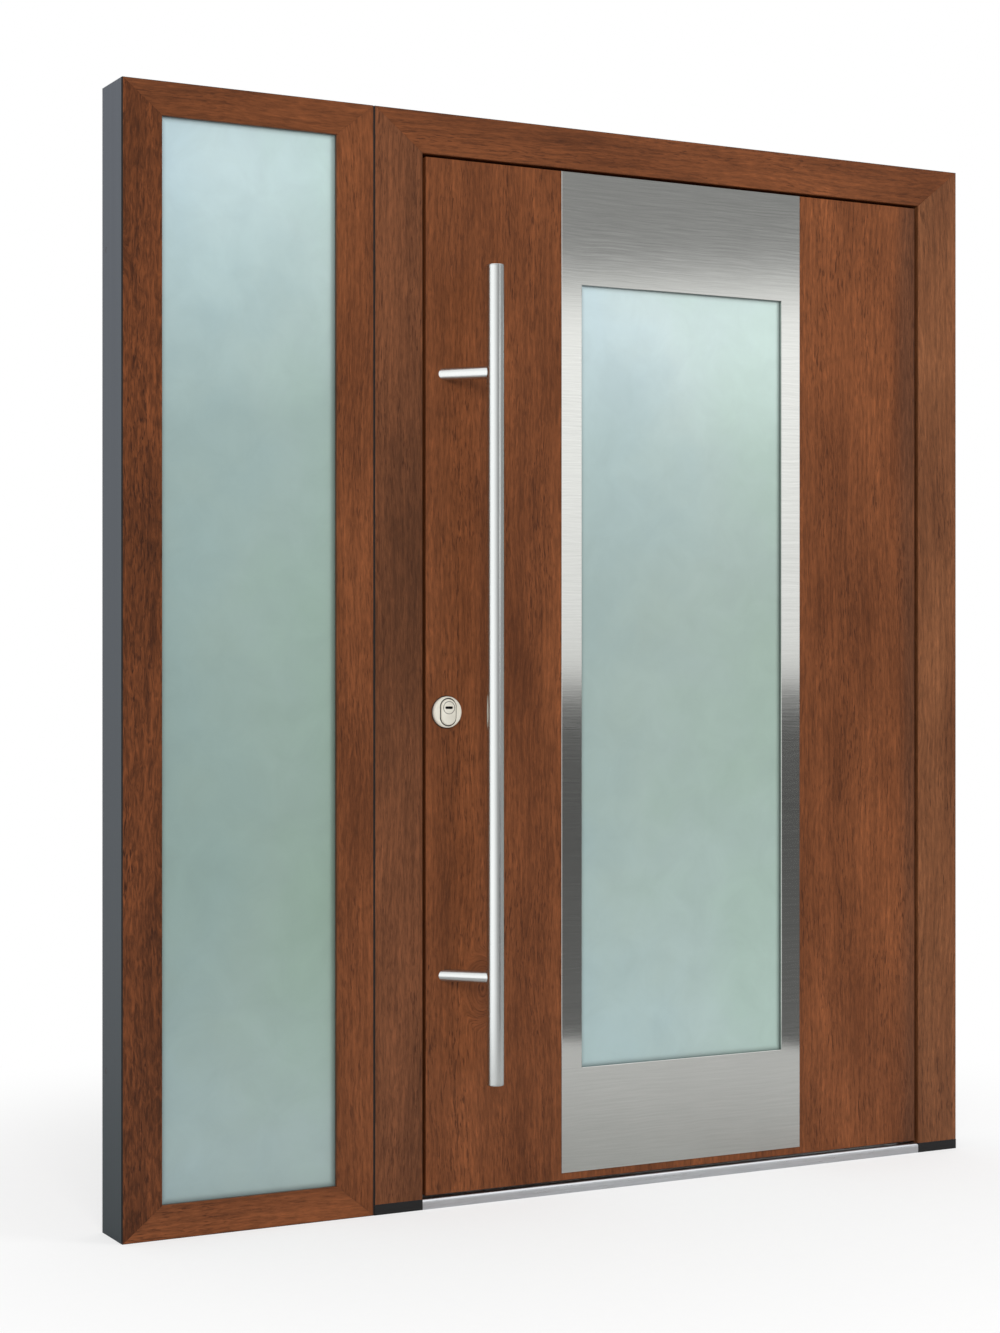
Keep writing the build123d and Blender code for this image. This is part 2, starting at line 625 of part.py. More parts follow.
BOSS_FRONT_Y = LEAF_FRONT_Y - ROSETTE_HEIGHT - BOSS_HEIGHT
PLUG_COVER_Y = BOSS_FRONT_Y + PLUG_COVER_THICKNESS


def plug_cover(clearance):
    """The round cover over the cylinder's plug, or the recess it needs."""
    disc = Circle(PLUG_COVER_DIAMETER / 2 + clearance)
    return pressed(disc, LOCK_X, LOCK_Z + PLUG_RISE, BOSS_FRONT_Y, PLUG_COVER_Y)


def outer_rosette():
    """The round rosette and its raised boss, recessed for the plug's cover."""
    rosette_y = LEAF_FRONT_Y - ROSETTE_HEIGHT
    disc = pressed(Circle(ROSETTE_DIAMETER / 2), LOCK_X, LOCK_Z, rosette_y, LEAF_FRONT_Y)
    disc = chamfer(front_edges(disc), ROSETTE_EASING)
    slot = SlotOverall(BOSS_LENGTH, BOSS_WIDTH, rotation=90)
    boss = pressed(slot, LOCK_X, LOCK_Z, BOSS_FRONT_Y, rosette_y)
    boss = chamfer(front_edges(boss), BOSS_EASING)
    hole = cylinder_run(CYLINDER_CLEARANCE, PLUG_COVER_Y, LEAF_FRONT_Y)
    return disc + boss - plug_cover(CYLINDER_CLEARANCE) - hole


def lock_cylinder():
    """The profile cylinder through the stile, its plug cover slotted level for the key."""
    inner_y = LEAF_BACK_Y + ESCUTCHEON_THICKNESS + CYLINDER_INNER_PROUD
    body = cylinder_run(0.0, PLUG_COVER_Y, inner_y) + plug_cover(0.0)
    key = SlotOverall(KEY_SLOT_WIDTH, KEY_SLOT_HEIGHT)
    return body - pressed(key, LOCK_X, LOCK_Z + PLUG_RISE, BOSS_FRONT_Y, BOSS_FRONT_Y + KEY_SLOT_DEPTH)


def inner_escutcheon():
    """The long plate inside, with the cylinder's hole."""
    outer_y = LEAF_BACK_Y + ESCUTCHEON_THICKNESS
    shape = RectangleRounded(ESCUTCHEON_WIDTH, ESCUTCHEON_LENGTH, ESCUTCHEON_CORNER_RADIUS)
    plate = pressed(shape, LOCK_X, LOCK_Z + ESCUTCHEON_CENTRE_RISE, LEAF_BACK_Y, outer_y)
    plate = chamfer(plate.edges().group_by(Axis.Y)[-1], ESCUTCHEON_EASING)
    return plate - cylinder_run(CYLINDER_CLEARANCE, LEAF_BACK_Y, outer_y)


def inner_lever():
    """The lever: a round bar swept out from the plate and, past a mitre, towards the hinges."""
    z = LOCK_Z + LEVER_RISE
    base = LEAF_BACK_Y + ESCUTCHEON_THICKNESS
    grip_y = base + LEVER_STANDOFF
    path = Polyline((LOCK_X, base), (LOCK_X, grip_y), (LOCK_X + LEVER_LENGTH, grip_y))
    start = Plane(origin=(LOCK_X, base, 0), z_dir=(0, 1, 0))
    bar = sweep(start * Circle(LEVER_NECK_DIAMETER / 2), path=path, transition=Transition.RIGHT)
    bar = chamfer(bar.edges().group_by(Axis.X)[-1], LEVER_END_EASING)
    boss = pressed(Circle(LEVER_BOSS_DIAMETER / 2), LOCK_X, z, base, base + LEVER_BOSS_HEIGHT)
    return boss + Pos(0, 0, z) * bar


def hinge_span(z):
    """The z levels of one hinge: lower barrel, middle barrel, upper barrel."""
    middle = HINGE_MIDDLE_LENGTH / 2
    low = z - middle - HINGE_BARREL_GAP
    high = z + middle + HINGE_BARREL_GAP
    return (low - HINGE_END_LENGTH, low), (z - middle, z + middle), (high, high + HINGE_END_LENGTH)


def hinge_barrel(span):
    """One barrel of a hinge."""
    return upright(HINGE_X, HINGE_Y, HINGE_BARREL_DIAMETER, *span)


def hinge_pad(x, z, length):
    """A flat pad with rounded corners, centred at x and z."""
    shape = RectangleRounded(HINGE_PAD_WIDTH, length, HINGE_PAD_RADIUS)
    return pressed(shape, x, z, LEAF_BACK_Y, LEAF_BACK_Y + HINGE_PAD_THICKNESS)


def hinge_arm(x0, x1, span):
    """The strap from a pad to a barrel, level with the middle of the barrel."""
    half = HINGE_ARM_THICKNESS / 2
    return box_between(x0, x1, LEAF_BACK_Y + HINGE_PAD_THICKNESS / 2, HINGE_Y + half, *span)


HINGE_PAD_OFFSET = HINGE_BARREL_DIAMETER / 2 + HINGE_PAD_CLEARANCE + HINGE_PAD_WIDTH / 2


def hinge_frame_parts():
    """Pads on the hinge jamb, each with a middle barrel and a fixed pin."""
    pad_x = HINGE_X + HINGE_PAD_OFFSET
    parts = []
    for z in HINGE_HEIGHTS:
        lower, middle, upper = hinge_span(z)
        pin = upright(HINGE_X, HINGE_Y, HINGE_PIN_DIAMETER, lower[0], upper[1])
        arm = hinge_arm(HINGE_X, pad_x, middle)
        parts.append(hinge_pad(pad_x, z, upper[1] - lower[0]) + arm + hinge_barrel(middle) + pin)
    return Compound(parts)


def hinge_leaf_parts():
    """Pads on the leaf, each with two barrels bored for the pin."""
    pad_x = HINGE_X - HINGE_PAD_OFFSET
    bore = HINGE_PIN_DIAMETER + 2 * HINGE_PIN_CLEARANCE
    parts = []
    for z in HINGE_HEIGHTS:
        lower, middle, upper = hinge_span(z)
        part = hinge_pad(pad_x, z, upper[1] - lower[0])
        for span in (lower, upper):
            part += hinge_arm(pad_x, HINGE_X, span) + hinge_barrel(span)
        parts.append(part - upright(HINGE_X, HINGE_Y, bore, lower[0], upper[1]))
    return Compound(parts)


PARTS = {
    "sidelight_left_stile": sidelight_left_stile,
    "sidelight_right_stile": lambda: sidelight_stile("right"),
    "sidelight_top_rail": lambda: sidelight_rail("top"),
    "sidelight_bottom_rail": lambda: sidelight_rail("bottom"),
    "sidelight_outer_gasket": lambda: gasket(SIDELIGHT_VISIBLE, SIDELIGHT_NOSE_Y),
    "sidelight_outer_pane": lambda: pane(SIDELIGHT_PANE, SIDELIGHT_PANE_Y),
    "sidelight_spacer": lambda: spacer(SIDELIGHT_PANE, SIDELIGHT_SPACER_Y),
    "sidelight_inner_pane": lambda: pane(SIDELIGHT_PANE, SIDELIGHT_INNER_Y),
    "sidelight_glazing_beads": sidelight_beads,
    "coupling_strip": coupling_strip,
    "door_left_jamb": door_left_jamb,
    "door_right_jamb": door_right_jamb,
    "door_head": door_head,
    "threshold_rail": threshold_rail,
    "threshold_base": threshold_base,
    "threshold_end_blocks": threshold_end_blocks,
    "frame_seal": frame_seal,
    "strike_plates": strike_plates,
    "hinge_frame_parts": hinge_frame_parts,
    "leaf_lock_stile": leaf_lock_stile,
    "leaf_hinge_stile": lambda: leaf_stile("right"),
    "leaf_top_rail": lambda: leaf_rail("top", LEAF_OVERLAP),
    "leaf_bottom_rail": lambda: leaf_rail("bottom", 0.0),
    "leaf_outer_sheet": leaf_outer_sheet,
    "leaf_core": leaf_core,
    "leaf_inner_sheet": leaf_inner_sheet,
    "leaf_infill_beads": leaf_infill_beads,
    "steel_plate": steel_plate,
    "door_outer_gasket": lambda: gasket(DOOR_VISIBLE, SHEET_BACK_Y),
    "door_outer_pane": lambda: pane(DOOR_PANE, DOOR_PANE_Y),
    "door_spacer": lambda: spacer(DOOR_PANE, DOOR_SPACER_Y),
    "door_inner_pane": lambda: pane(DOOR_PANE, DOOR_INNER_Y),
    "door_glass_trim": door_glass_trim,
    "pull_bar": pull_bar,
    "pull_bar_caps": pull_bar_caps,
    "pull_upper_support": lambda: pull_support(PULL_TOP - SUPPORT_FROM_BAR_END),
    "pull_lower_support": lambda: pull_support(PULL_BOTTOM + SUPPORT_FROM_BAR_END),
    "outer_rosette": outer_rosette,
    "lock_cylinder": lock_cylinder,
    "inner_escutcheon": inner_escutcheon,
    "inner_lever": inner_lever,
    "lock_faceplate": lock_faceplate,
    "lock_bolts": lock_bolts,
    "hinge_leaf_parts": hinge_leaf_parts,
}

os.makedirs("parts", exist_ok=True)
for node, make in PARTS.items():
    export_step(make(), f"parts/{node}.step")
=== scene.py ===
# Entrance door with a fixed frosted sidelight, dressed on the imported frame.
# Metres, Z up, outside face towards -Y, the row frame of the CAD.
import json
import math

import bmesh
import bpy
import numpy as np
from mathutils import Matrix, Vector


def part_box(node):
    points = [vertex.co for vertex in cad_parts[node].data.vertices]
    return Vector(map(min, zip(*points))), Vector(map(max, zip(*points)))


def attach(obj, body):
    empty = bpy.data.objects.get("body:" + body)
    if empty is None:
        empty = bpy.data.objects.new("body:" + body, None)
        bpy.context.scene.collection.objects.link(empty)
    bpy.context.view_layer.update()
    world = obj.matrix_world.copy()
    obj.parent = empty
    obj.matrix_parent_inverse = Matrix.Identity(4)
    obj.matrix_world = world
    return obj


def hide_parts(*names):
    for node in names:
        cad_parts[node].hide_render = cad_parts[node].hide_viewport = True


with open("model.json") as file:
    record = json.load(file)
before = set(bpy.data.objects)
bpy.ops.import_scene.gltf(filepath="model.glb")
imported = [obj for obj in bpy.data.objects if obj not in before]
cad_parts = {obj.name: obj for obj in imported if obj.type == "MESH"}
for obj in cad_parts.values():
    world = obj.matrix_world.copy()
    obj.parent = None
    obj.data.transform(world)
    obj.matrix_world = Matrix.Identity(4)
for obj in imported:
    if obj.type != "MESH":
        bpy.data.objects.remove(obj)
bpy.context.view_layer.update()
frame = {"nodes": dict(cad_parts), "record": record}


# The frame profiles. Extruded window profiles, wrapped on their faces in a
# printed and embossed oak foil, and left anthracite on the outer edge, which
# has painted shade that makes it darker low down. The groove behind the front
# arris is painted near black as shade. The corners are cut from corner to
# corner and pressed together.
def linear(colour):
    """sRGB hex to linear: a twelfth near black, else the 2.4 power of the channel."""
    s = np.array([int(colour[i:i + 2], 16) for i in (1, 3, 5)]) / 255
    rgb = np.where(s <= 0.04045, s / 12.92, ((s + 0.055) / 1.055) ** 2.4)
    return (*rgb.tolist(), 1.0)


def feed(tree, node, inputs):
    """Sets or links a node's inputs: a value is set, an output is linked, and a node stands
    for its first output in use.

    Inputs that share a name go by number: those of a Math node, and on a Mix node 0
    for the share, 2 and 3 for two numbers, 6 and 7 for two colours.
    """
    for socket, value in dict(inputs).items():
        if isinstance(value, bpy.types.Node):
            value = next(output for output in value.outputs if output.enabled)
        if isinstance(value, bpy.types.NodeSocket):
            tree.links.new(value, node.inputs[socket])
        else:
            node.inputs[socket].default_value = value


def add(tree, kind, inputs=(), stops=(), **settings):
    """Adds one node with its settings, its ramp's colour stops and what feeds its inputs."""
    node = tree.nodes.new("ShaderNode" + kind)
    for name, value in settings.items():
        setattr(node, name, value)
    for position, (place, colour) in enumerate(stops):
        elements = node.color_ramp.elements
        element = elements[position] if position < len(elements) else elements.new(place)
        element.position = place
        element.color = linear(colour)
    feed(tree, node, inputs)
    return node


def new_material(name, **sockets):
    """A material with one Principled shader, its constant sockets set here."""
    material = bpy.data.materials.new(name)
    material.use_nodes = True
    shader = material.node_tree.nodes["Principled BSDF"]
    for socket, value in sockets.items():
        shader.inputs[socket.replace("_", " ")].default_value = value
    return material, material.node_tree, shader


def oak_foil(name, level=False, shift=(0.0, 0.0, 0.0), dark="#60341A", light="#874E2C",
             figure=0.6, heart=None):
    """Printed oak foil: streaks, growth rings, flame figure, fibre and pores multiplied
    together and bent round rare knots. It is satin, and the pores are embossed.

    The grain runs along Z, or along X when level. Real pores are 0.3 mm wide and
    4 mm long; they are drawn 3 mm by 20 mm, because finer ones don't show in the
    render. heart gives two X planes, from plain wood to darker heartwood.
    """
    material, tree, shader = new_material(name, Roughness=0.50, IOR=1.5, Specular_IOR_Level=0.22)
    place = add(tree, "TexCoord").outputs["Object"]
    turn = (0.0, math.pi / 2 if level else 0.0, 0.0)
    grain = add(tree, "Mapping", {"Vector": place, "Rotation": turn, "Location": shift})

    # knots come first, because the streaks bend round them
    squashed = add(tree, "Mapping", {"Vector": grain, "Scale": (1.0, 1.0, 0.6)})
    cells = add(tree, "TexVoronoi", {"Vector": squashed, "Scale": 3.4})
    rare = add(tree, "Math", {0: cells.outputs["Color"], 1: 0.60}, operation="GREATER_THAN")
    near = add(tree, "MapRange", {
        "Value": cells.outputs["Distance"], "From Min": 0.20, "From Max": 0.02,
    }, interpolation_type="SMOOTHSTEP")
    halo = add(tree, "Math", {0: near, 1: rare}, operation="MULTIPLY")
    towards = add(tree, "VectorMath", {0: cells.outputs["Position"], "Scale": -0.10}, operation="SCALE")
    pull = add(tree, "VectorMath", {0: towards, "Scale": halo}, operation="SCALE")
    wander = 0.06
    loose = add(tree, "Mapping", {"Vector": grain, "Scale": (2.5, 2.5, 1.6)})
    drift = add(tree, "TexNoise", {"Vector": loose, "Scale": 1.0, "Detail": 2.0, "Roughness": 0.5})
    sway = add(tree, "VectorMath", {
        0: drift.outputs["Color"], 1: (wander, wander, 0.0), 2: grain,
    }, operation="MULTIPLY_ADD")
    bent = add(tree, "VectorMath", {0: sway, 1: pull}, operation="ADD")

    # each layer of figure: the vector, scale, detail, roughness and distortion of its
    # noise, and the two spans that the noise is spread from and to
    layers = {
        "streaks": (bent, (46.0, 46.0, 2.2), 6.0, 0.66, 0.35, (0.30, 0.70), (0.80, 1.16)),
        "flame": (bent, (110.0, 110.0, 26.0), 4.0, 0.6, 1.4, (0.36, 0.64),
                  (1.0 - 0.26 * figure, 1.0 + 0.22 * figure)),
        "fibre": (bent, (360.0, 360.0, 30.0), 3.0, 0.7, 0.4, (0.36, 0.64), (0.80, 1.20)),
        "dashes": (bent, (330.0, 330.0, 40.0), 2.0, 0.5, 0.6, (0.54, 0.66), (0.0, 0.45 + 0.36 * figure)),
        "crowds": (bent, (26.0, 26.0, 3.2), 3.0, 0.6, 0.5, (0.42, 0.62), (0.15, 1.0)),
        "patches": (grain, (7.0, 7.0, 1.6), 4.0, 0.55, 0.0, (0.30, 0.70), (0.0, 1.0)),
    }
    noise, layer = {}, {}
    for kind, (vector, scale, detail, roughness, distortion, source, target) in layers.items():
        stretched = add(tree, "Mapping", {"Vector": vector, "Scale": scale})
        noise[kind] = add(tree, "TexNoise", {
            "Vector": stretched, "Scale": 1.0, "Detail": detail, "Roughness": roughness,
            "Distortion": distortion,
        })
        layer[kind] = add(tree, "MapRange", {
            "Value": noise[kind], "From Min": source[0], "From Max": source[1],
            "To Min": target[0], "To Max": target[1],
        })
    slow = add(tree, "Mapping", {"Vector": bent, "Scale": (1.0, 1.0, 0.10)})
    rings = add(tree, "TexWave", {
        "Vector": slow, "Scale": 24.0, "Distortion": 11.0, "Detail": 3.0,
        "Detail Scale": 0.45, "Detail Roughness": 0.6,
    })
    layer["rings"] = add(tree, "MapRange", {"Value": rings.outputs["Fac"], "To Min": 0.90, "To Max": 1.05})

    base = add(tree, "Mix", {0: layer["patches"], 6: linear(dark), 7: linear(light)}, data_type="RGBA")
    if heart:
        # the planes move with the grain, which the sway shifts by half its reach on average
        across = add(tree, "SeparateXYZ", {0: bent})
        planes = [plane + shift[0] + wander / 2 for plane in heart]
        deep = add(tree, "MapRange", {
            "Value": across, "From Min": planes[0], "From Max": planes[1], "To Min": 0.0, "To Max": 0.5,
        }, interpolation_type="SMOOTHSTEP")
        base = add(tree, "Mix", {0: deep, 6: base, 7: linear("#4C3325")}, data_type="RGBA")
    shade = layer["streaks"]
    for kind in ("flame", "fibre", "rings"):
        shade = add(tree, "Math", {0: shade, 1: layer[kind]}, operation="MULTIPLY")
    shaded = add(tree, "VectorMath", {0: base, "Scale": shade}, operation="SCALE")
    pores = add(tree, "Math", {0: layer["dashes"], 1: layer["crowds"]}, operation="MULTIPLY")
    porous = add(tree, "Mix", {0: pores, 6: shaded, 7: linear("#35190B")}, data_type="RGBA")
    core = add(tree, "MapRange", {
        "Value": cells.outputs["Distance"], "From Min": 0.055, "From Max": 0.012, "To Max": 0.80,
    }, interpolation_type="SMOOTHSTEP")
    heart_of_knot = add(tree, "Math", {0: core, 1: rare}, operation="MULTIPLY")
    ring_of_knot = add(tree, "Math", {0: halo, 1: 0.22}, operation="MULTIPLY")
    knots = add(tree, "Math", {0: heart_of_knot, 1: ring_of_knot}, operation="MAXIMUM")
    colour = add(tree, "Mix", {0: knots, 6: porous, 7: linear("#2E150A")}, data_type="RGBA")
    depth = add(tree, "Math", {0: noise["fibre"], 1: pores}, operation="SUBTRACT")
    relief = add(tree, "Bump", {"Height": depth, "Strength": 0.35, "Distance": 0.0008})
    feed(tree, shader, {"Base Color": colour, "Normal": relief})
    return material


def anthracite_profile():
    """Uncoated plastic profile edge: matt grey-blue with fine lines from the die, and painted shade that
    makes it darker low down and lighter towards the top.
    """
    material, tree, shader = new_material(
        "anthracite_profile_edge", Roughness=0.55, IOR=1.5, Specular_IOR_Level=0.25)
    place = add(tree, "TexCoord").outputs["Object"]
    vector = add(tree, "Mapping", {"Vector": place, "Scale": (260.0, 260.0, 1.5)})
    lines = add(tree, "TexNoise", {"Vector": vector, "Scale": 1.0, "Detail": 3.0})
    # painted shade: the grey-blue is dark at the floor and lighter towards the head, 2.1 m up
    height = add(tree, "SeparateXYZ", {0: place}).outputs["Z"]
    rise = add(tree, "MapRange", {"Value": height, "From Min": 0.0, "From Max": 2.1})
    body = add(tree, "Mix", {0: rise, 6: linear("#353D41"), 7: linear("#545A63")}, data_type="RGBA")
    shade = add(tree, "MapRange", {"Value": lines, "To Min": 0.88, "To Max": 1.12})
    colour = add(tree, "VectorMath", {0: body, "Scale": shade}, operation="SCALE")
    relief = add(tree, "Bump", {"Height": lines, "Strength": 0.10, "Distance": 0.0004})
    feed(tree, shader, {"Base Color": colour, "Normal": relief})
    return material


def painted_shade_joint():
    """Painted shade for recesses and joints: near black, dead matt, with dust 10 mm across. It darkens the
    open joint between foil and profile.
    """
    material, tree, shader = new_material("painted_shade_joint", Roughness=0.9)
    place = add(tree, "TexCoord").outputs["Object"]
    dust = add(tree, "TexNoise", {"Vector": place, "Scale": 90.0, "Detail": 2.0})
    colour = add(tree, "Mix", {0: dust, 6: linear("#0E0B0A"), 7: linear("#1C1613")}, data_type="RGBA")
    feed(tree, shader, {"Base Color": colour})
    return material


body_of = {node: body for body, nodes in frame["record"]["behaviour"]["bodies"].items() for node in nodes}
merge_distance = 0.00001
crease_angle = math.radians(32)


def eased_copy(node, materials, rounding, pick=None):
    """The CAD node's own shape, its corners merged and each arris rounded to this radius.

    pick turns the middles of the faces, one row each, into material numbers.
    """
    mesh = frame["nodes"][node].data.copy()
    mesh.name = node + "_eased"
    shell = bmesh.new()
    shell.from_mesh(mesh)
    bmesh.ops.remove_doubles(shell, verts=shell.verts, dist=merge_distance)
    bmesh.ops.dissolve_limit(shell, angle_limit=math.radians(1), verts=shell.verts, edges=shell.edges)
    shell.to_mesh(mesh)
    shell.free()
    mesh.materials.clear()
    for material in materials:
        mesh.materials.append(material)
    middles = np.empty(3 * len(mesh.polygons))
    mesh.polygons.foreach_get("center", middles)
    chosen = np.zeros(len(mesh.polygons)) if pick is None else pick(middles.reshape(-1, 3))
    mesh.polygons.foreach_set("material_index", chosen.astype(np.int32))
    mesh.shade_smooth()
    mesh.set_sharp_from_angle(angle=crease_angle)
    piece = bpy.data.objects.new(mesh.name, mesh)
    bpy.context.scene.collection.objects.link(piece)
    bevel = piece.modifiers.new("arris", "BEVEL")
    bevel.width = rounding
    bevel.segments = 2
    bevel.limit_method = "ANGLE"
    bevel.angle_limit = crease_angle
    bevel.harden_normals = True
    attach(piece, body_of[node])
    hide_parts(node)


profile_arris = 0.0004
joint_back = 0.0057
joint_depth = 0.0022
on_face = 0.0002


def outer_edge(node, axis, end):
    """Material numbers for a frame member: bare profile on its outer edge, near-black painted shade in the
    joint groove within 6 mm of the front there, and foil on every other face."""
    low, high = (np.array(corner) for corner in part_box(node))
    edge = (low, high)[end][axis]

    def pick(middles):
        inward = np.abs(middles[:, axis] - edge)
        behind = middles[:, 1] - low[1]
        # the groove's faces get the painted shade of a recess
        joint = (inward < joint_depth) & (behind > on_face) & (behind < joint_back)
        return np.where(joint, 2, np.where(inward < on_face, 1, 0))

    return pick


edge_finish = anthracite_profile()
# near-black painted shade for recesses: the frame's groove, the keyway and the rings round the rosette
joint_and_painted_shade = painted_shade_joint()
# each member with the axis and end of its outer edge: X or Z, low or high
frame_members = [
    ("sidelight_left_stile", 0, 0, dict(shift=(0.20, 0.0, 0.0), dark="#502A13", light="#744022", figure=1.5)),
    ("sidelight_right_stile", 0, 1, dict(shift=(0.37, 0.11, 0.83))),
    ("sidelight_top_rail", 2, 1, dict(level=True, figure=0.4)),
    ("sidelight_bottom_rail", 2, 0, dict(level=True, shift=(0.29, 0.4, 0.61), figure=0.4)),
    ("door_left_jamb", 0, 0, dict(shift=(0.74, 0.22, 1.66), dark="#55321D", light="#7B4A2E")),
    ("door_right_jamb", 0, 1, dict(shift=(1.11, 0.33, 2.49), dark="#623921", light="#885636", figure=0.4)),
    ("door_head", 2, 1, dict(level=True, shift=(0.58, 0.8, 1.22), figure=0.4)),
]
for node, axis, end, look in frame_members:
    finishes = [oak_foil("oak_foil_" + node, **look), edge_finish, joint_and_painted_shade]
    eased_copy(node, finishes, profile_arris, outer_edge(node, axis, end))


def corner_box(*nodes):
    """The outer edges (left, bottom, right, top) and depths (front, back) of some nodes."""
    low = np.min([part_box(n)[0] for n in nodes], 0)
    high = np.max([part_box(n)[1] for n in nodes], 0)
    return (low[0], low[2], high[0], high[2]), (low[1], high[1])


def skin(name, grids, materials, body, nodes=(), closed_rows=False, crease=crease_angle):
    """A mesh of quads between neighbouring points of one or more grids of rows and columns.

    Columns close round the section. Rows close too for a ring, or each end is
    filled by one flat face. Faces are turned to point away from the middle.
    """
    grids = np.asarray(grids, float).reshape(-1, *np.shape(grids)[-3:])
    copies, rows, columns = grids.shape[:3]
    index = np.arange(rows * columns).reshape(rows, columns)
    here = index if closed_rows else index[:-1]
    above = np.roll(index, -1, 0) if closed_rows else index[1:]
    quads = np.stack([here, np.roll(here, -1, 1), np.roll(above, -1, 1), above], -1).reshape(-1, 4)
    starts = np.arange(copies)[:, None, None] * rows * columns
    faces = (starts + quads).reshape(-1, 4).tolist()
    if not closed_rows:
        faces += (starts[..., 0] + index[0][::-1]).tolist() + (starts[..., 0] + index[-1]).tolist()
    corner = grids[0].reshape(-1, 3)[quads]
    lift = np.cross(corner[:, 2] - corner[:, 0], corner[:, 3] - corner[:, 1])
    outward = np.sum((corner.mean(1) - grids[0].reshape(-1, 3).mean(0)) * lift)
    mesh = bpy.data.meshes.new(name)
    mesh.from_pydata(grids.reshape(-1, 3).tolist(), [], faces)
    if outward < 0:
        mesh.flip_normals()
    for material in materials:
        mesh.materials.append(material)
    mesh.shade_smooth()
    mesh.set_sharp_from_angle(angle=crease)
    piece = bpy.data.objects.new(name, mesh)
    bpy.context.scene.collection.objects.link(piece)
    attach(piece, body)
    if nodes:
        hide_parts(*nodes)
    return piece


cap_radius = 0.0050
cap_length = 0.003
cap_rim = 0.0005
cap_recess = 0.0001


def anchor_caps(name, edge_x, into, depth_y, levels):
    """Flush caps in the anchor bores: rings of 5 mm radius from 3 mm deep to the outer face,
    the last one smaller, for the cap's eased rim."""
    a = np.linspace(0, 2 * np.pi, 48, endpoint=False)
    radii = cap_radius - np.array([0.0, 0.0, cap_rim])[:, None]
    inward = np.broadcast_to(np.array([cap_length, cap_rim, cap_recess])[:, None], (3, 48))
    cap = np.stack([edge_x + into * inward, depth_y + radii * np.cos(a), radii * np.sin(a)], -1)
    heights = np.zeros((len(levels), 1, 1, 3))
    heights[..., 2] = np.array(levels)[:, None, None]
    skin(name, cap + heights, [edge_finish], "frame")


anchor_levels = (0.300, 1.800)
anchor_from_back = 0.023
(frame_left, _, frame_right, _), (_, frame_back) = corner_box("sidelight_left_stile", "door_right_jamb")
anchor_caps("left_anchor_caps", frame_left, 1, frame_back - anchor_from_back, anchor_levels)
anchor_caps("right_anchor_caps", frame_right, -1, frame_back - anchor_from_back, anchor_levels)


# Seals. A black rubber strip is pushed into the rebate; the panes are bedded in
# grey silicone, which reads as a soft grey edge round the glass.
def black_rubber(name, dark="#0B0B0C", pale="#1D1E20", roughness=0.75):
    """Extruded rubber or moulded plastic: matt, with a faint mottled bloom 5 mm across."""
    material, tree, shader = new_material(name, IOR=1.52)
    place = add(tree, "TexCoord").outputs["Object"]
    bloom = add(tree, "TexNoise", {"Vector": place, "Scale": 200.0, "Detail": 3.0})
    colour = add(tree, "Mix", {0: bloom, 6: linear(dark), 7: linear(pale)}, data_type="RGBA")
    matt = add(tree, "MapRange", {
        "Value": bloom, "To Min": roughness - 0.12, "To Max": roughness + 0.1,
    })
    feed(tree, shader, {"Base Color": colour, "Roughness": matt})
    return material


def clothe(material, *nodes):
    """Gives CAD nodes this one material."""
    for node in nodes:
        mesh = frame["nodes"][node].data
        mesh.materials.clear()
        mesh.materials.append(material)


clothe(black_rubber("extruded_rubber"), "frame_seal")
grey_silicone = black_rubber("grey_silicone_bead", "#4C5755", "#5F6B69", 0.6)
clothe(grey_silicone, "sidelight_outer_gasket", "door_outer_gasket")


# Glass. Sealed units of two 6 mm float panes. The outer pane is satin etched
# and tinted by the pale green of the glass. Its colour holds a painted
# reflection, soft blurred tones of sky and trees, and painted shade that
# darkens it towards the edge, where the frame takes the light away.
def grown(outline, distance):
    """An outline moved outwards on all four sides."""
    left, bottom, right, top = outline
    return (left - distance, bottom - distance, right + distance, top + distance)


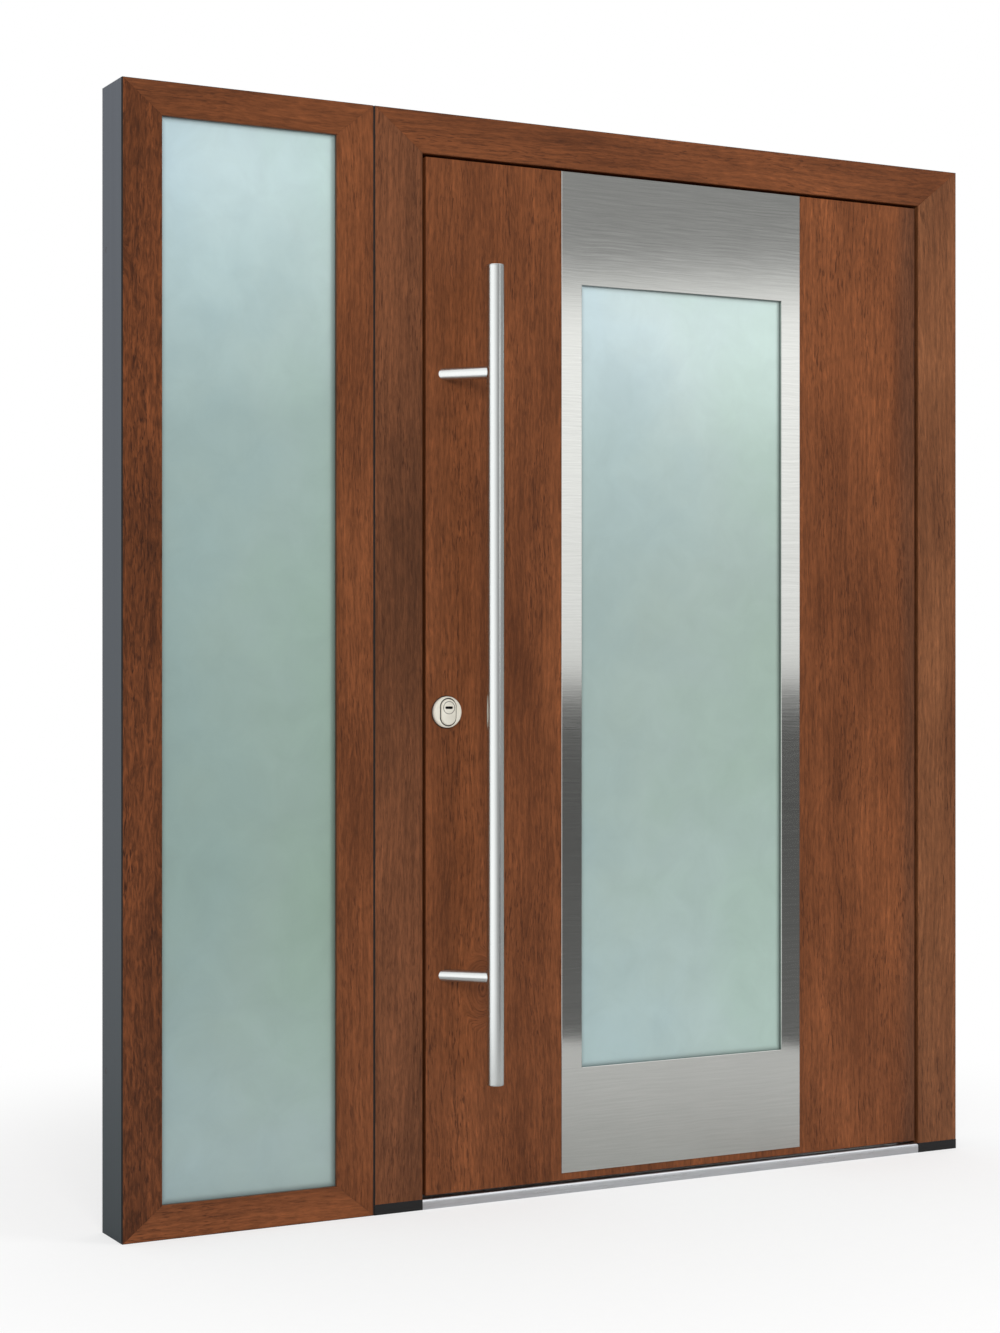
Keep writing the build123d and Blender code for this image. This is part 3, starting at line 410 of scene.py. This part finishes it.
def satin_glass(name, stops, outline, seed):
    """Etched float glass whose colour is a painted reflection: tones over its height swayed by large soft
    noise, cool on the left and greener on the right, times a painted shade that grows within 12 mm of the
    four edges."""
    left, bottom, right, top = outline
    material, tree, shader = new_material(
        name, Roughness=0.32, IOR=1.5, Coat_Weight=0.25, Coat_Roughness=0.12)
    place = add(tree, "TexCoord").outputs["Object"]
    axes = add(tree, "SeparateXYZ", {0: place}).outputs
    moved = add(tree, "Mapping", {"Vector": place, "Location": (seed, seed, seed)})
    cloud = add(tree, "TexNoise", {"Vector": moved, "Scale": 2.6, "Detail": 5.0, "Roughness": 0.6})
    # painted reflection: small soft flecks like blurred leaves
    painted_foliage = add(tree, "TexNoise", {
        "Vector": moved, "Scale": 12.0, "Detail": 6.0, "Roughness": 0.62, "Distortion": 0.6,
    })
    rise = add(tree, "MapRange", {"Value": axes["Z"], "From Min": bottom, "From Max": top})
    sway = add(tree, "MapRange", {
        "Value": cloud, "From Min": 0.3, "From Max": 0.7, "To Min": -0.025, "To Max": 0.025,
    })
    level = add(tree, "Math", {0: rise, 1: sway}, operation="ADD", use_clamp=True)
    # painted reflection: blurred tones of sky and trees, paler towards the head of the pane
    painted_reflection = add(tree, "ValToRGB", {0: level}, stops=stops)
    speckle = add(tree, "MapRange", {
        "Value": painted_foliage, "From Min": 0.3, "From Max": 0.7, "To Min": 0.955, "To Max": 1.045,
    })
    clouded = add(tree, "VectorMath", {0: painted_reflection, "Scale": speckle}, operation="SCALE")
    across = add(tree, "MapRange", {
        "Value": axes["X"], "From Min": left, "From Max": right, "To Min": -0.25, "To Max": 0.25,
    })
    greener = add(tree, "Math", {0: across, 1: cloud}, operation="ADD", use_clamp=True)
    tints = [(0.25, "#F7FAFF"), (0.50, "#FDFDFD"), (0.75, "#FAFEF7")]
    tint = add(tree, "ValToRGB", {0: greener}, stops=tints)
    tinted = add(tree, "VectorMath", {0: clouded, 1: tint}, operation="MULTIPLY")

    # how far inside the opening: half its width or height, less the way from its middle
    inside = []
    for along, start, end in (("X", left, right), ("Z", bottom, top)):
        offset = add(tree, "Math", {0: axes[along], 1: (start + end) / 2}, operation="SUBTRACT")
        off = add(tree, "Math", {0: offset}, operation="ABSOLUTE")
        inside.append(add(tree, "Math", {0: (end - start) / 2, 1: off}, operation="SUBTRACT"))
    nearest = add(tree, "Math", dict(enumerate(inside)), operation="MINIMUM")
    # painted shade: darker within 12 mm of the edges, where the frame takes the light away
    edge = add(tree, "MapRange", {
        "Value": nearest, "From Min": -0.004, "From Max": 0.012, "To Min": 0.50, "To Max": 1.0,
    }, interpolation_type="SMOOTHSTEP")
    colour = add(tree, "VectorMath", {0: tinted, "Scale": edge}, operation="SCALE")
    etch = add(tree, "TexNoise", {"Vector": place, "Scale": 1400.0, "Detail": 1.0})
    relief = add(tree, "Bump", {"Height": etch, "Strength": 0.04, "Distance": 0.0002})
    feed(tree, shader, {"Base Color": colour, "Normal": relief})
    return material


def clear_glass():
    """Clear float glass with the faint green of its iron."""
    material, tree, shader = new_material(
        "clear_float_glass", Roughness=0.0, IOR=1.52, Transmission_Weight=1.0)
    place = add(tree, "TexCoord").outputs["Object"]
    wave = add(tree, "TexNoise", {"Vector": place, "Scale": 3.0, "Detail": 1.0})
    colour = add(tree, "Mix", {0: wave, 6: linear("#E4F1EC"), 7: linear("#EEF6F3")}, data_type="RGBA")
    feed(tree, shader, {"Base Color": colour})
    return material


gasket_width = 0.010
sidelight_opening = grown(corner_box("sidelight_outer_gasket")[0], -gasket_width)
door_opening = grown(corner_box("door_outer_gasket")[0], -gasket_width)
# painted reflection: the colours from the foot to the head of each pane
sidelight_painted_reflection = [
    (0.04, "#9CAFAD"), (0.28, "#8FA49B"), (0.50, "#93A8A1"), (0.72, "#9AAFAB"), (0.86, "#B4C9C7"),
    (0.96, "#C1D6D8"),
]
door_painted_reflection = [
    (0.04, "#ABBFBC"), (0.35, "#9FB2AC"), (0.60, "#9EB0AA"), (0.79, "#ACBFBB"), (0.95, "#C6D8D8"),
]
clothe(satin_glass("satin_glass_sidelight", sidelight_painted_reflection, sidelight_opening, 4.1), "sidelight_outer_pane")
clothe(satin_glass("satin_glass_door", door_painted_reflection, door_opening, 6.2), "door_outer_pane")
clothe(clear_glass(), "sidelight_inner_pane", "door_inner_pane")


# Inside beads and the coupling. Oak foil beads clip in against the inner pane;
# a strip of black plastic joins the sidelight to the door frame.
inside_foil = oak_foil("oak_foil_inside", shift=(2.7, 0.2, 1.45))
inside_level = oak_foil("oak_foil_inside_level", level=True, shift=(3.1, 0.7, 0.15), figure=0.4)
black = black_rubber("moulded_black_plastic", "#070707", "#141415", 0.6)
bead_arris = 0.0008


def ring_foils(node, rounding=bead_arris):
    """A mitred ring of beads: upright grain at its sides and level grain above and below, where
    a face's middle is nearer to the top or bottom edge, measured along the 45 degree mitre."""
    (left, bottom, right, top), _ = corner_box(node)

    def pick(middles):
        sideways = np.minimum(middles[:, 0] - left, right - middles[:, 0])
        upwards = np.minimum(middles[:, 2] - bottom, top - middles[:, 2])
        return np.where(upwards < sideways, 1, 0)

    eased_copy(node, [inside_foil, inside_level], rounding, pick)


ring_foils("sidelight_glazing_beads")
clothe(black, "coupling_strip")


# Threshold. A rail of anodised aluminium with a round nose and grip grooves,
# a black insulating bar behind it and black blocks under the jambs.
def ground_metal(name, scale, colours, roughness, relief, spread=(0.90, 1.06)):
    """Ground metal: fine scratches far longer than wide over soft clouds, which gives a satin
    streak. They are drawn 2 to 3 mm wide, because real ones don't show in the render."""
    material, tree, shader = new_material(name, Metallic=1.0)
    place = add(tree, "TexCoord").outputs["Object"]
    wander = add(tree, "TexNoise", {"Vector": place, "Scale": 9.0, "Detail": 2.0}).outputs["Color"]
    loose = add(tree, "VectorMath", {
        0: wander, 1: (0.01, 0.01, 0.01), 2: place,
    }, operation="MULTIPLY_ADD")
    vector = add(tree, "Mapping", {"Vector": loose, "Scale": scale})
    scratches = add(tree, "TexNoise", {"Vector": vector, "Scale": 1.0, "Detail": 5.0, "Roughness": 0.7})
    clouds = add(tree, "TexNoise", {"Vector": place, "Scale": 6.0, "Detail": 3.0})
    body = add(tree, "Mix", {
        0: clouds, 6: linear(colours[0]), 7: linear(colours[1]),
    }, data_type="RGBA")
    shade = add(tree, "MapRange", {
        "Value": scratches, "From Min": 0.3, "From Max": 0.7, "To Min": spread[0], "To Max": spread[1],
    })
    colour = add(tree, "VectorMath", {0: body, "Scale": shade}, operation="SCALE")
    rough = add(tree, "MapRange", {
        "Value": scratches, "From Min": 0.3, "From Max": 0.7,
        "To Min": roughness * 0.75, "To Max": roughness * 1.25,
    })
    bump = add(tree, "Bump", {"Height": scratches, "Strength": relief, "Distance": 0.0003})
    feed(tree, shader, {"Base Color": colour, "Roughness": rough, "Normal": bump})
    return material


anodised = ground_metal("anodised_aluminium", (8.0, 300.0, 300.0), ("#DADDE1", "#E6E8EB"), 0.32, 0.05)
threshold_arris = 0.0005
eased_copy("threshold_rail", [anodised], threshold_arris)
clothe(anodised, "sidelight_spacer", "door_spacer")
eased_copy("threshold_base", [black], threshold_arris)
eased_copy("threshold_end_blocks", [black], threshold_arris)


# The leaf. Oak foil profiles round an insulating core with a foil-faced sheet
# on both sides; bevelled beads and a trim ring close the joints inside.
leaf_right = corner_box("leaf_outer_sheet")[0][2]
heartwood = (leaf_right - 0.05, leaf_right - 0.01)
leaf_foil = oak_foil("oak_foil_leaf_sheet", shift=(1.9, 0.2, 0.45), heart=heartwood)
leaf_arris = 0.0008
eased_copy("leaf_outer_sheet", [leaf_foil], leaf_arris)
for node in ("leaf_lock_stile", "leaf_hinge_stile"):
    eased_copy(node, [inside_foil], leaf_arris)
for node in ("leaf_top_rail", "leaf_bottom_rail"):
    eased_copy(node, [inside_level], leaf_arris)
clothe(inside_foil, "leaf_inner_sheet")
ring_foils("leaf_infill_beads")
trim_arris = 0.0005
ring_foils("door_glass_trim", trim_arris)
clothe(black_rubber("insulating_foam", "#6F6748", "#8A8160", 0.8), "leaf_core")


# The plate. Stainless sheet 2 mm thick, ground across with a belt and bonded to
# the leaf, its edge turned in round the glass. It mirrors the room in level bands.
def nested(name, outlines, depths, material, body, nodes=()):
    """Rectangles one inside or behind another, joined corner to corner into a closed ring."""
    left, bottom, right, top = np.array(outlines, float).T
    depth = np.array(depths, float)
    points = np.stack([
        np.stack([left, depth, bottom], -1), np.stack([right, depth, bottom], -1),
        np.stack([right, depth, top], -1), np.stack([left, depth, top], -1),
    ], 1)
    skin(name, points, [material], body, nodes, closed_rows=True)


plate_steel = ground_metal("cross_ground_stainless_sheet", (7.0, 60.0, 330.0),
                           ("#CFD0CC", "#D8D9D5"), 0.075, 0.02)
plate_edge, (near, far) = corner_box("steel_plate")
arris = 0.0005
return_depth = 0.0029
return_gap = 0.0003
returned = grown(door_opening, -return_gap)
nested("steel_plate_ground", [
    plate_edge, plate_edge, grown(plate_edge, -arris),
    grown(door_opening, arris), returned, returned,
], [far, near + arris, near, near, near + arris, far + return_depth],
    plate_steel, "leaf", ["steel_plate"])


# The pull bar. Stainless tube 34 mm across with a flat plug pressed into each
# end, carried by two round supports cut at a slant, screwed from inside.
def turned(name, radii, levels, centre, material, body, nodes=()):
    """A turned piece: each level is a circle of its radius round an upright axis."""
    a = np.linspace(0, 2 * np.pi, 96, endpoint=False)
    radii, levels = np.array(radii, float), np.array(levels, float)
    x = centre[0] + radii[:, None] * np.cos(a)
    y = centre[1] + radii[:, None] * np.sin(a)
    z = np.broadcast_to(levels[:, None], x.shape)
    return skin(name, np.stack([x, y, z], -1), [material], body, nodes, crease=math.radians(30))


satin_steel = ground_metal("satin_stainless_tube", (500.0, 500.0, 6.0),
                           ("#D2D5D4", "#DADDDC"), 0.22, 0.0, (0.97, 1.02))
low, high = (np.array(corner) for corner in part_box("pull_bar_caps"))
bar_axis = (low + high)[:2] / 2
bar_radius = (high[0] - low[0]) / 2
plug_proud = 0.0020
tube_ease = 0.0004
bar_foot, bar_head = low[2] + plug_proud, high[2] - plug_proud
turned("pull_bar_satin", [bar_radius - tube_ease, bar_radius, bar_radius, bar_radius - tube_ease],
       [bar_foot, bar_foot + tube_ease, bar_head - tube_ease, bar_head],
       bar_axis, satin_steel, "leaf", ["pull_bar"])
plug_radii = bar_radius - np.array([0.0012, 0.0006, 0.0002, 0.0002])
plug_steps = np.array([0.0, 0.0002, 0.0008, 0.0019])
for name, end, into in (("foot", low[2], 1), ("head", high[2], -1)):
    plug = turned("pull_bar_plug_" + name, plug_radii, end + into * plug_steps,
                  bar_axis, satin_steel, "leaf", ["pull_bar_caps"] if into > 0 else ())


support_offset = 0.067
saddle_gap = 0.0002
first_ring = 0.0004


def slant_support(name, node, offset):
    """A round rod from the leaf to the bar: each line of the rod starts where it meets the
    leaf's plane and ends where it meets the bar, the near root of a quadratic."""
    low, high = (np.array(corner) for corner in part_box(node))
    radius = (high[2] - low[2]) / 2
    leaf_y = high[1]
    foot = np.array([bar_axis[0] - offset, leaf_y, (low[2] + high[2]) / 2])
    along = np.append(bar_axis, foot[2]) - foot
    along /= np.linalg.norm(along)
    side = np.array([-along[1], along[0], 0.0])
    a = np.linspace(0, 2 * np.pi, 64, endpoint=False)[:, None]
    base = foot + radius * (np.cos(a) * side + np.sin(a) * np.array([0.0, 0.0, 1.0]))
    start = (leaf_y - base[:, 1]) / along[1]
    gap = base[:, :2] - bar_axis
    half_b = gap @ along[:2]
    c = np.sum(gap ** 2, 1) - (bar_radius + saddle_gap) ** 2
    across = np.sum(along[:2] ** 2)
    stop = (-half_b - np.sqrt(half_b ** 2 - across * c)) / across
    stations = np.stack([start, start + first_ring, stop])
    points = base[None] + stations[..., None] * along
    skin(name, points, [satin_steel], "leaf", [node])


slant_support("pull_upper_support_satin", "pull_upper_support", support_offset)
slant_support("pull_lower_support_satin", "pull_lower_support", support_offset)


# The lock. A cast rosette with a raised boss covers the cylinder; it is coated
# pale, as it mirrors nothing of the room. Inside, a long satin plate carries
# the lever.
def powder_coat(name, dark, pale):
    """Fine powder coating on cast metal: satin, with the slight orange peel of 1 mm waves."""
    material, tree, shader = new_material(name, Roughness=0.45, IOR=1.5)
    place = add(tree, "TexCoord").outputs["Object"]
    peel = add(tree, "TexNoise", {"Vector": place, "Scale": 900.0, "Detail": 2.0})
    clouds = add(tree, "TexNoise", {"Vector": place, "Scale": 60.0, "Detail": 3.0})
    colour = add(tree, "Mix", {0: clouds, 6: linear(dark), 7: linear(pale)}, data_type="RGBA")
    relief = add(tree, "Bump", {"Height": peel, "Strength": 0.15, "Distance": 0.0002})
    feed(tree, shader, {"Base Color": colour, "Normal": relief})
    return material


pale_coat = powder_coat("pale_powder_coat", "#E6E1D1", "#F3EFE2")
rosette_arris = 0.0005
eased_copy("outer_rosette", [pale_coat], rosette_arris)
cylinder_box, (cover_front, _) = corner_box("lock_cylinder")
cover_radius = (cylinder_box[2] - cylinder_box[0]) / 2
lock_x = (cylinder_box[0] + cylinder_box[2]) / 2
keyway = np.array([lock_x, cylinder_box[3] - cover_radius])
slot_half_width = 0.0084
slot_half_height = 0.0029
slot_depth = 0.0070
cover_arris = 0.0002


def in_keyway(middles):
    """Painted shade for faces inside the cover's 16 by 5 mm slot, behind its front: they take the near-black
    joint colour.
    """
    off = np.abs(middles[:, [0, 2]] - keyway)
    behind = middles[:, 1] - cover_front
    within = (off[:, 0] < slot_half_width) & (off[:, 1] < slot_half_height)
    return np.where(within & (behind > on_face) & (behind < slot_depth), 1, 0)


# the keyway's inside gets painted shade
eased_copy("lock_cylinder", [pale_coat, joint_and_painted_shade], cover_arris, in_keyway)
seam_thickness = 0.0001


def seam_or_painted_shadow(name, centre, straight, radius, width, y):
    """A flat dark ring on a plane of y, drawn for dark joints and for painted shadows. Its path is a circle
    pulled apart up and down, and it runs inside and outside that path by half its width."""
    a = np.linspace(0, 2 * np.pi, 96, endpoint=False)
    pulled = np.sign(np.sin(a)) * straight / 2
    radii = radius + width / 2 * np.array([1, 1, -1, -1])[:, None]
    x = centre[0] + radii * np.cos(a)
    z = centre[1] + radii * np.sin(a) + pulled
    depth = np.broadcast_to(y - seam_thickness * np.array([0, 1, 1, 0])[:, None], x.shape)
    piece = skin(name, np.stack([x, depth, z], -1), [joint_and_painted_shade], "leaf", closed_rows=True)


rosette_box, (boss_front, leaf_face) = corner_box("outer_rosette")
rosette_centre = (lock_x, (rosette_box[1] + rosette_box[3]) / 2)
rosette_height = 0.008
# painted shadow: the ring round the boss is a joint widened into the shadow the boss casts, and the ring at
# the leaf stands for a gasket and the rosette's contact shadow
seam_or_painted_shadow("rosette_boss_seam_and_painted_shadow", rosette_centre, straight=0.019, radius=0.0166, width=0.0023,
     y=leaf_face - rosette_height)
seam_or_painted_shadow("rosette_gasket_and_painted_shadow", rosette_centre, straight=0.0, radius=0.0306, width=0.0020, y=leaf_face)
seam_or_painted_shadow("plug_cover_seam", keyway, straight=0.0, radius=cover_radius + 0.0004, width=0.0009, y=boss_front)
fitting_arris = 0.0006
lever_arris = 0.0012
eased_copy("inner_escutcheon", [satin_steel], fitting_arris)
eased_copy("inner_lever", [satin_steel], lever_arris)


# The lock edge. A steel faceplate let into the stile with the latch and two
# bolts in it, and strike plates with windows in the jamb, all screwed.
def screw_heads(name, places, outward, radius, proud, body):
    """Countersunk heads with a hexagon socket. Each is rings round its axis: an eased rim,
    and a socket whose radius is its flat's distance over the cosine from the flat's middle."""
    outward = np.array(outward, float)
    first = np.roll(np.abs(outward), 1)
    second = np.cross(outward, first)
    a = np.linspace(0, 2 * np.pi, 24, endpoint=False)
    hexagon = 0.45 * radius / np.cos(np.mod(a, np.pi / 3) - np.pi / 6)
    circle = np.full_like(a, radius)
    rings = np.stack([circle, circle, 0.88 * circle, hexagon, hexagon])
    rise = np.array([-0.0002, 0.4 * proud, proud, proud, 0.1 * proud])
    spoke = np.cos(a)[:, None] * first + np.sin(a)[:, None] * second
    head = rings[..., None] * spoke + rise[:, None, None] * outward
    piece = skin(name, np.array(places, float)[:, None, None] + head, [satin_steel], body)


lock_steel = ground_metal("ground_lock_steel", (300.0, 300.0, 8.0), ("#C6C7C6", "#CFD0CF"), 0.35, 0.03)
edge_plate_arris = 0.0004
for node in ("lock_faceplate", "lock_bolts", "strike_plates"):
    eased_copy(node, [lock_steel], edge_plate_arris)
(_, _, strike_face, _), (strike_front, strike_back) = corner_box("strike_plates")
(faceplate_edge, plate_foot, _, plate_head), _ = corner_box("lock_faceplate")
(_, bolt_foot, _, bolt_top), _ = corner_box("lock_bolts")
lock_line = (strike_front + strike_back) / 2
bolt_half_length = 0.020
latch_below_lock = 0.061
cylinder_above_lock = 0.020
latch_level = cylinder_box[3] - cylinder_above_lock - latch_below_lock
bolt_levels = [bolt_foot + bolt_half_length, latch_level, bolt_top - bolt_half_length]
strike_screw_rise = 0.045
faceplate_screws = np.linspace(plate_foot + 0.012, plate_head - 0.012, 8)
escutcheon_screw_inset = 0.020
edge_screw = {"radius": 0.0040, "proud": 0.0004}
screw_heads("strike_plate_screws", [
    (strike_face, lock_line, level + step)
    for level in bolt_levels for step in (-strike_screw_rise, strike_screw_rise)
], (1, 0, 0), body="frame", **edge_screw)
screw_heads("faceplate_screws", [
    (faceplate_edge, lock_line, level) for level in faceplate_screws
], (-1, 0, 0), body="leaf", **edge_screw)
(left, bottom, right, top), (_, escutcheon_face) = corner_box("inner_escutcheon")
screw_heads("escutcheon_screws", [
    ((left + right) / 2, escutcheon_face, level)
    for level in (bottom + escutcheon_screw_inset, top - escutcheon_screw_inset)
], (0, 1, 0), radius=0.0055, proud=0.0006, body="leaf")


# Hinges. Three surface hinges inside, each with a middle barrel and pin on the
# jamb's pad and two bored barrels on the leaf's pad, four screws to a pad.
pad_width = 0.034
pad_depth = 0.006
hinge_half_height = 0.054
hinge_screw_rise = 0.044
hinge_screw_side = 0.007
for node in ("hinge_frame_parts", "hinge_leaf_parts"):
    eased_copy(node, [satin_steel], fitting_arris)
    (left, bottom, right, top), (wall, _) = corner_box(node)
    on_leaf = node == "hinge_leaf_parts"
    middle = left + pad_width / 2 if on_leaf else right - pad_width / 2
    levels = [bottom + hinge_half_height, (bottom + top) / 2, top - hinge_half_height]
    screw_heads(node.replace("parts", "screws"), [
        (middle + side, wall + pad_depth, level + rise)
        for level in levels
        for rise in (-hinge_screw_rise, hinge_screw_rise)
        for side in (-hinge_screw_side, hinge_screw_side)
    ], (0, 1, 0), radius=0.0042, proud=0.0006, body=body_of[node])


# The room. A white floor that keeps the shadow, a white surround, and two
# large soft lamps in front of the door, left and right.
def floor_finish(radius):
    """White floor: lit by the lamps near the door, white of its own towards its rim, and a
    little darker where metal mirrors it."""
    material, tree, shader = new_material("pale_floor")
    tree.nodes.remove(shader)
    place = add(tree, "TexCoord").outputs["Object"]
    away = add(tree, "VectorMath", {0: place}, operation="LENGTH")
    rim = add(tree, "MapRange", {
        "Value": away, "From Min": 0.9, "From Max": radius, "To Min": 0.6, "To Max": 1.0,
    }, interpolation_type="SMOOTHSTEP")
    grain = add(tree, "TexNoise", {"Vector": place, "Scale": 40.0, "Detail": 3.0})
    white = add(tree, "MapRange", {"Value": grain, "To Min": 0.97, "To Max": 1.0})
    path = add(tree, "LightPath").outputs
    mirrored = add(tree, "MapRange", {"Value": path["Is Glossy Ray"], "To Min": 1.0, "To Max": 0.65})
    shown = add(tree, "Math", {0: white, 1: mirrored}, operation="MULTIPLY")
    matt = add(tree, "BsdfDiffuse", {"Color": shown})
    glow = add(tree, "Emission", {"Strength": 1.0})
    seen = add(tree, "Math", {
        0: path["Is Camera Ray"], 1: path["Is Transmission Ray"],
    }, operation="MAXIMUM")
    share = add(tree, "Math", {0: seen, 1: rim}, operation="MULTIPLY")
    mixed = add(tree, "MixShader", {0: share, 1: matt, 2: glow})
    feed(tree, tree.nodes["Material Output"], {"Surface": mixed})
    return material


floor_radius = 2.0
floor_sides = 96
around = np.linspace(0, 2 * np.pi, floor_sides, endpoint=False)
mesh = bpy.data.meshes.new("floor")
rim_points = floor_radius * np.stack([np.cos(around), np.sin(around), 0 * around], 1)
mesh.from_pydata(rim_points.tolist(), [], [list(range(floor_sides))])
mesh.materials.append(floor_finish(floor_radius))
floor = bpy.data.objects.new("floor", mesh)
bpy.context.scene.collection.objects.link(floor)


def studio():
    """A white surround. Shiny metal mirrors a wide pale screen to the right, which ends at eye
    level and at 9 degrees above it, a bright wall to the left, a pale ceiling and grey between."""
    world = bpy.data.worlds.new("studio")
    world.use_nodes = True
    tree = world.node_tree
    tree.nodes.clear()
    axes = add(tree, "SeparateXYZ", {0: add(tree, "TexCoord").outputs["Generated"]}).outputs

    # each ramp follows one axis of the direction, from one place to another
    ramps = {
        "screen": ("Z", (0.0, 0.12), (1.02, 1.28), "LINEAR"),
        "top of screen": ("Z", (0.164, 0.134), (0.0, 1.0), "SMOOTHSTEP"),
        "under": ("Z", (-0.16, -0.06), (0.17, 0.125), "SMOOTHSTEP"),
        "foot of screen": ("Z", (-0.018, -0.002), (0.0, 1.0), "SMOOTHSTEP"),
        "left of screen": ("X", (0.34, 0.44), (0.0, 1.0), "SMOOTHSTEP"),
        "right of screen": ("X", (0.74, 0.66), (0.0, 1.0), "SMOOTHSTEP"),
        "wall": ("X", (0.10, -0.80), (0.0, 1.0), "LINEAR"),
        "ceiling": ("Z", (0.30, 0.60), (0.0, 1.0), "SMOOTHSTEP"),
        "matt": ("Y", (-0.2, 0.4), (0.48, 0.85), "SMOOTHSTEP"),
    }
    ramp = {
        name: add(tree, "MapRange", {
            "Value": axes[axis], "From Min": source[0], "From Max": source[1],
            "To Min": target[0], "To Max": target[1],
        }, interpolation_type=kind)
        for name, (axis, source, target, kind) in ramps.items()
    }
    over = add(tree, "Mix", {0: ramp["top of screen"], 2: 0.33, 3: ramp["screen"]})
    bands = add(tree, "Mix", {0: ramp["foot of screen"], 2: ramp["under"], 3: over})
    beside = add(tree, "Math", {
        0: ramp["left of screen"], 1: ramp["right of screen"],
    }, operation="MULTIPLY")
    right = add(tree, "Mix", {0: beside, 2: 0.40, 3: bands})
    wall = add(tree, "Mix", {0: ramp["wall"], 2: right, 3: 1.40})
    mirrored = add(tree, "Mix", {0: ramp["ceiling"], 2: wall, 3: 1.20})
    path = add(tree, "LightPath").outputs
    lighting = add(tree, "Mix", {0: path["Is Glossy Ray"], 2: ramp["matt"], 3: mirrored})
    seen = add(tree, "Math", {
        0: path["Is Camera Ray"], 1: path["Is Transmission Ray"],
    }, operation="MAXIMUM")
    strength = add(tree, "Mix", {0: seen, 2: lighting, 3: 1.0})
    surround = add(tree, "Background", {"Color": (1.0, 1.0, 1.0, 1.0), "Strength": strength})
    feed(tree, tree.nodes.new("ShaderNodeOutputWorld"), {"Surface": surround})
    return world


bpy.context.scene.world = studio()


def soft_lamp(name, place, aim, width, power):
    """A square area lamp facing its aim."""
    data = bpy.data.lights.new(name, "AREA")
    data.shape = "SQUARE"
    data.size = width
    data.energy = power
    lamp = bpy.data.objects.new(name, data)
    bpy.context.scene.collection.objects.link(lamp)
    lamp.location = place
    towards = np.array(aim) - np.array(place)
    towards = towards / np.linalg.norm(towards)
    lamp.rotation_euler = (math.acos(-towards[2]), 0.0, math.atan2(towards[0], -towards[1]) + math.pi)
    lamp.visible_glossy = False


middle_of_door = (0.0, 0.0, 1.0)
soft_lamp("key_lamp", (-2.2, -4.4, 3.2), middle_of_door, width=1.8, power=94.0)
soft_lamp("fill_lamp", (3.2, -3.6, 2.8), middle_of_door, width=1.8, power=88.0)


# The camera. It stands where the photograph was taken from, outside to the
# left, level at 1.05 m above the floor and turned 28 degrees to the right.
sensor = 36.0
frame_pixels = 1333.0
focal_pixels = 2472.0
shift_pixels = -6.0
lens = bpy.data.cameras.new("camera")
lens.sensor_width = sensor
lens.lens = sensor * focal_pixels / frame_pixels
lens.shift_y = shift_pixels / frame_pixels
camera = bpy.data.objects.new("camera", lens)
bpy.context.scene.collection.objects.link(camera)
camera.location = (-2.4243, -4.2949, 1.050)
camera.rotation_euler = (math.pi / 2, 0.0, -math.radians(27.98))
bpy.context.scene.camera = camera
bpy.context.scene.view_settings.view_transform = "Standard"
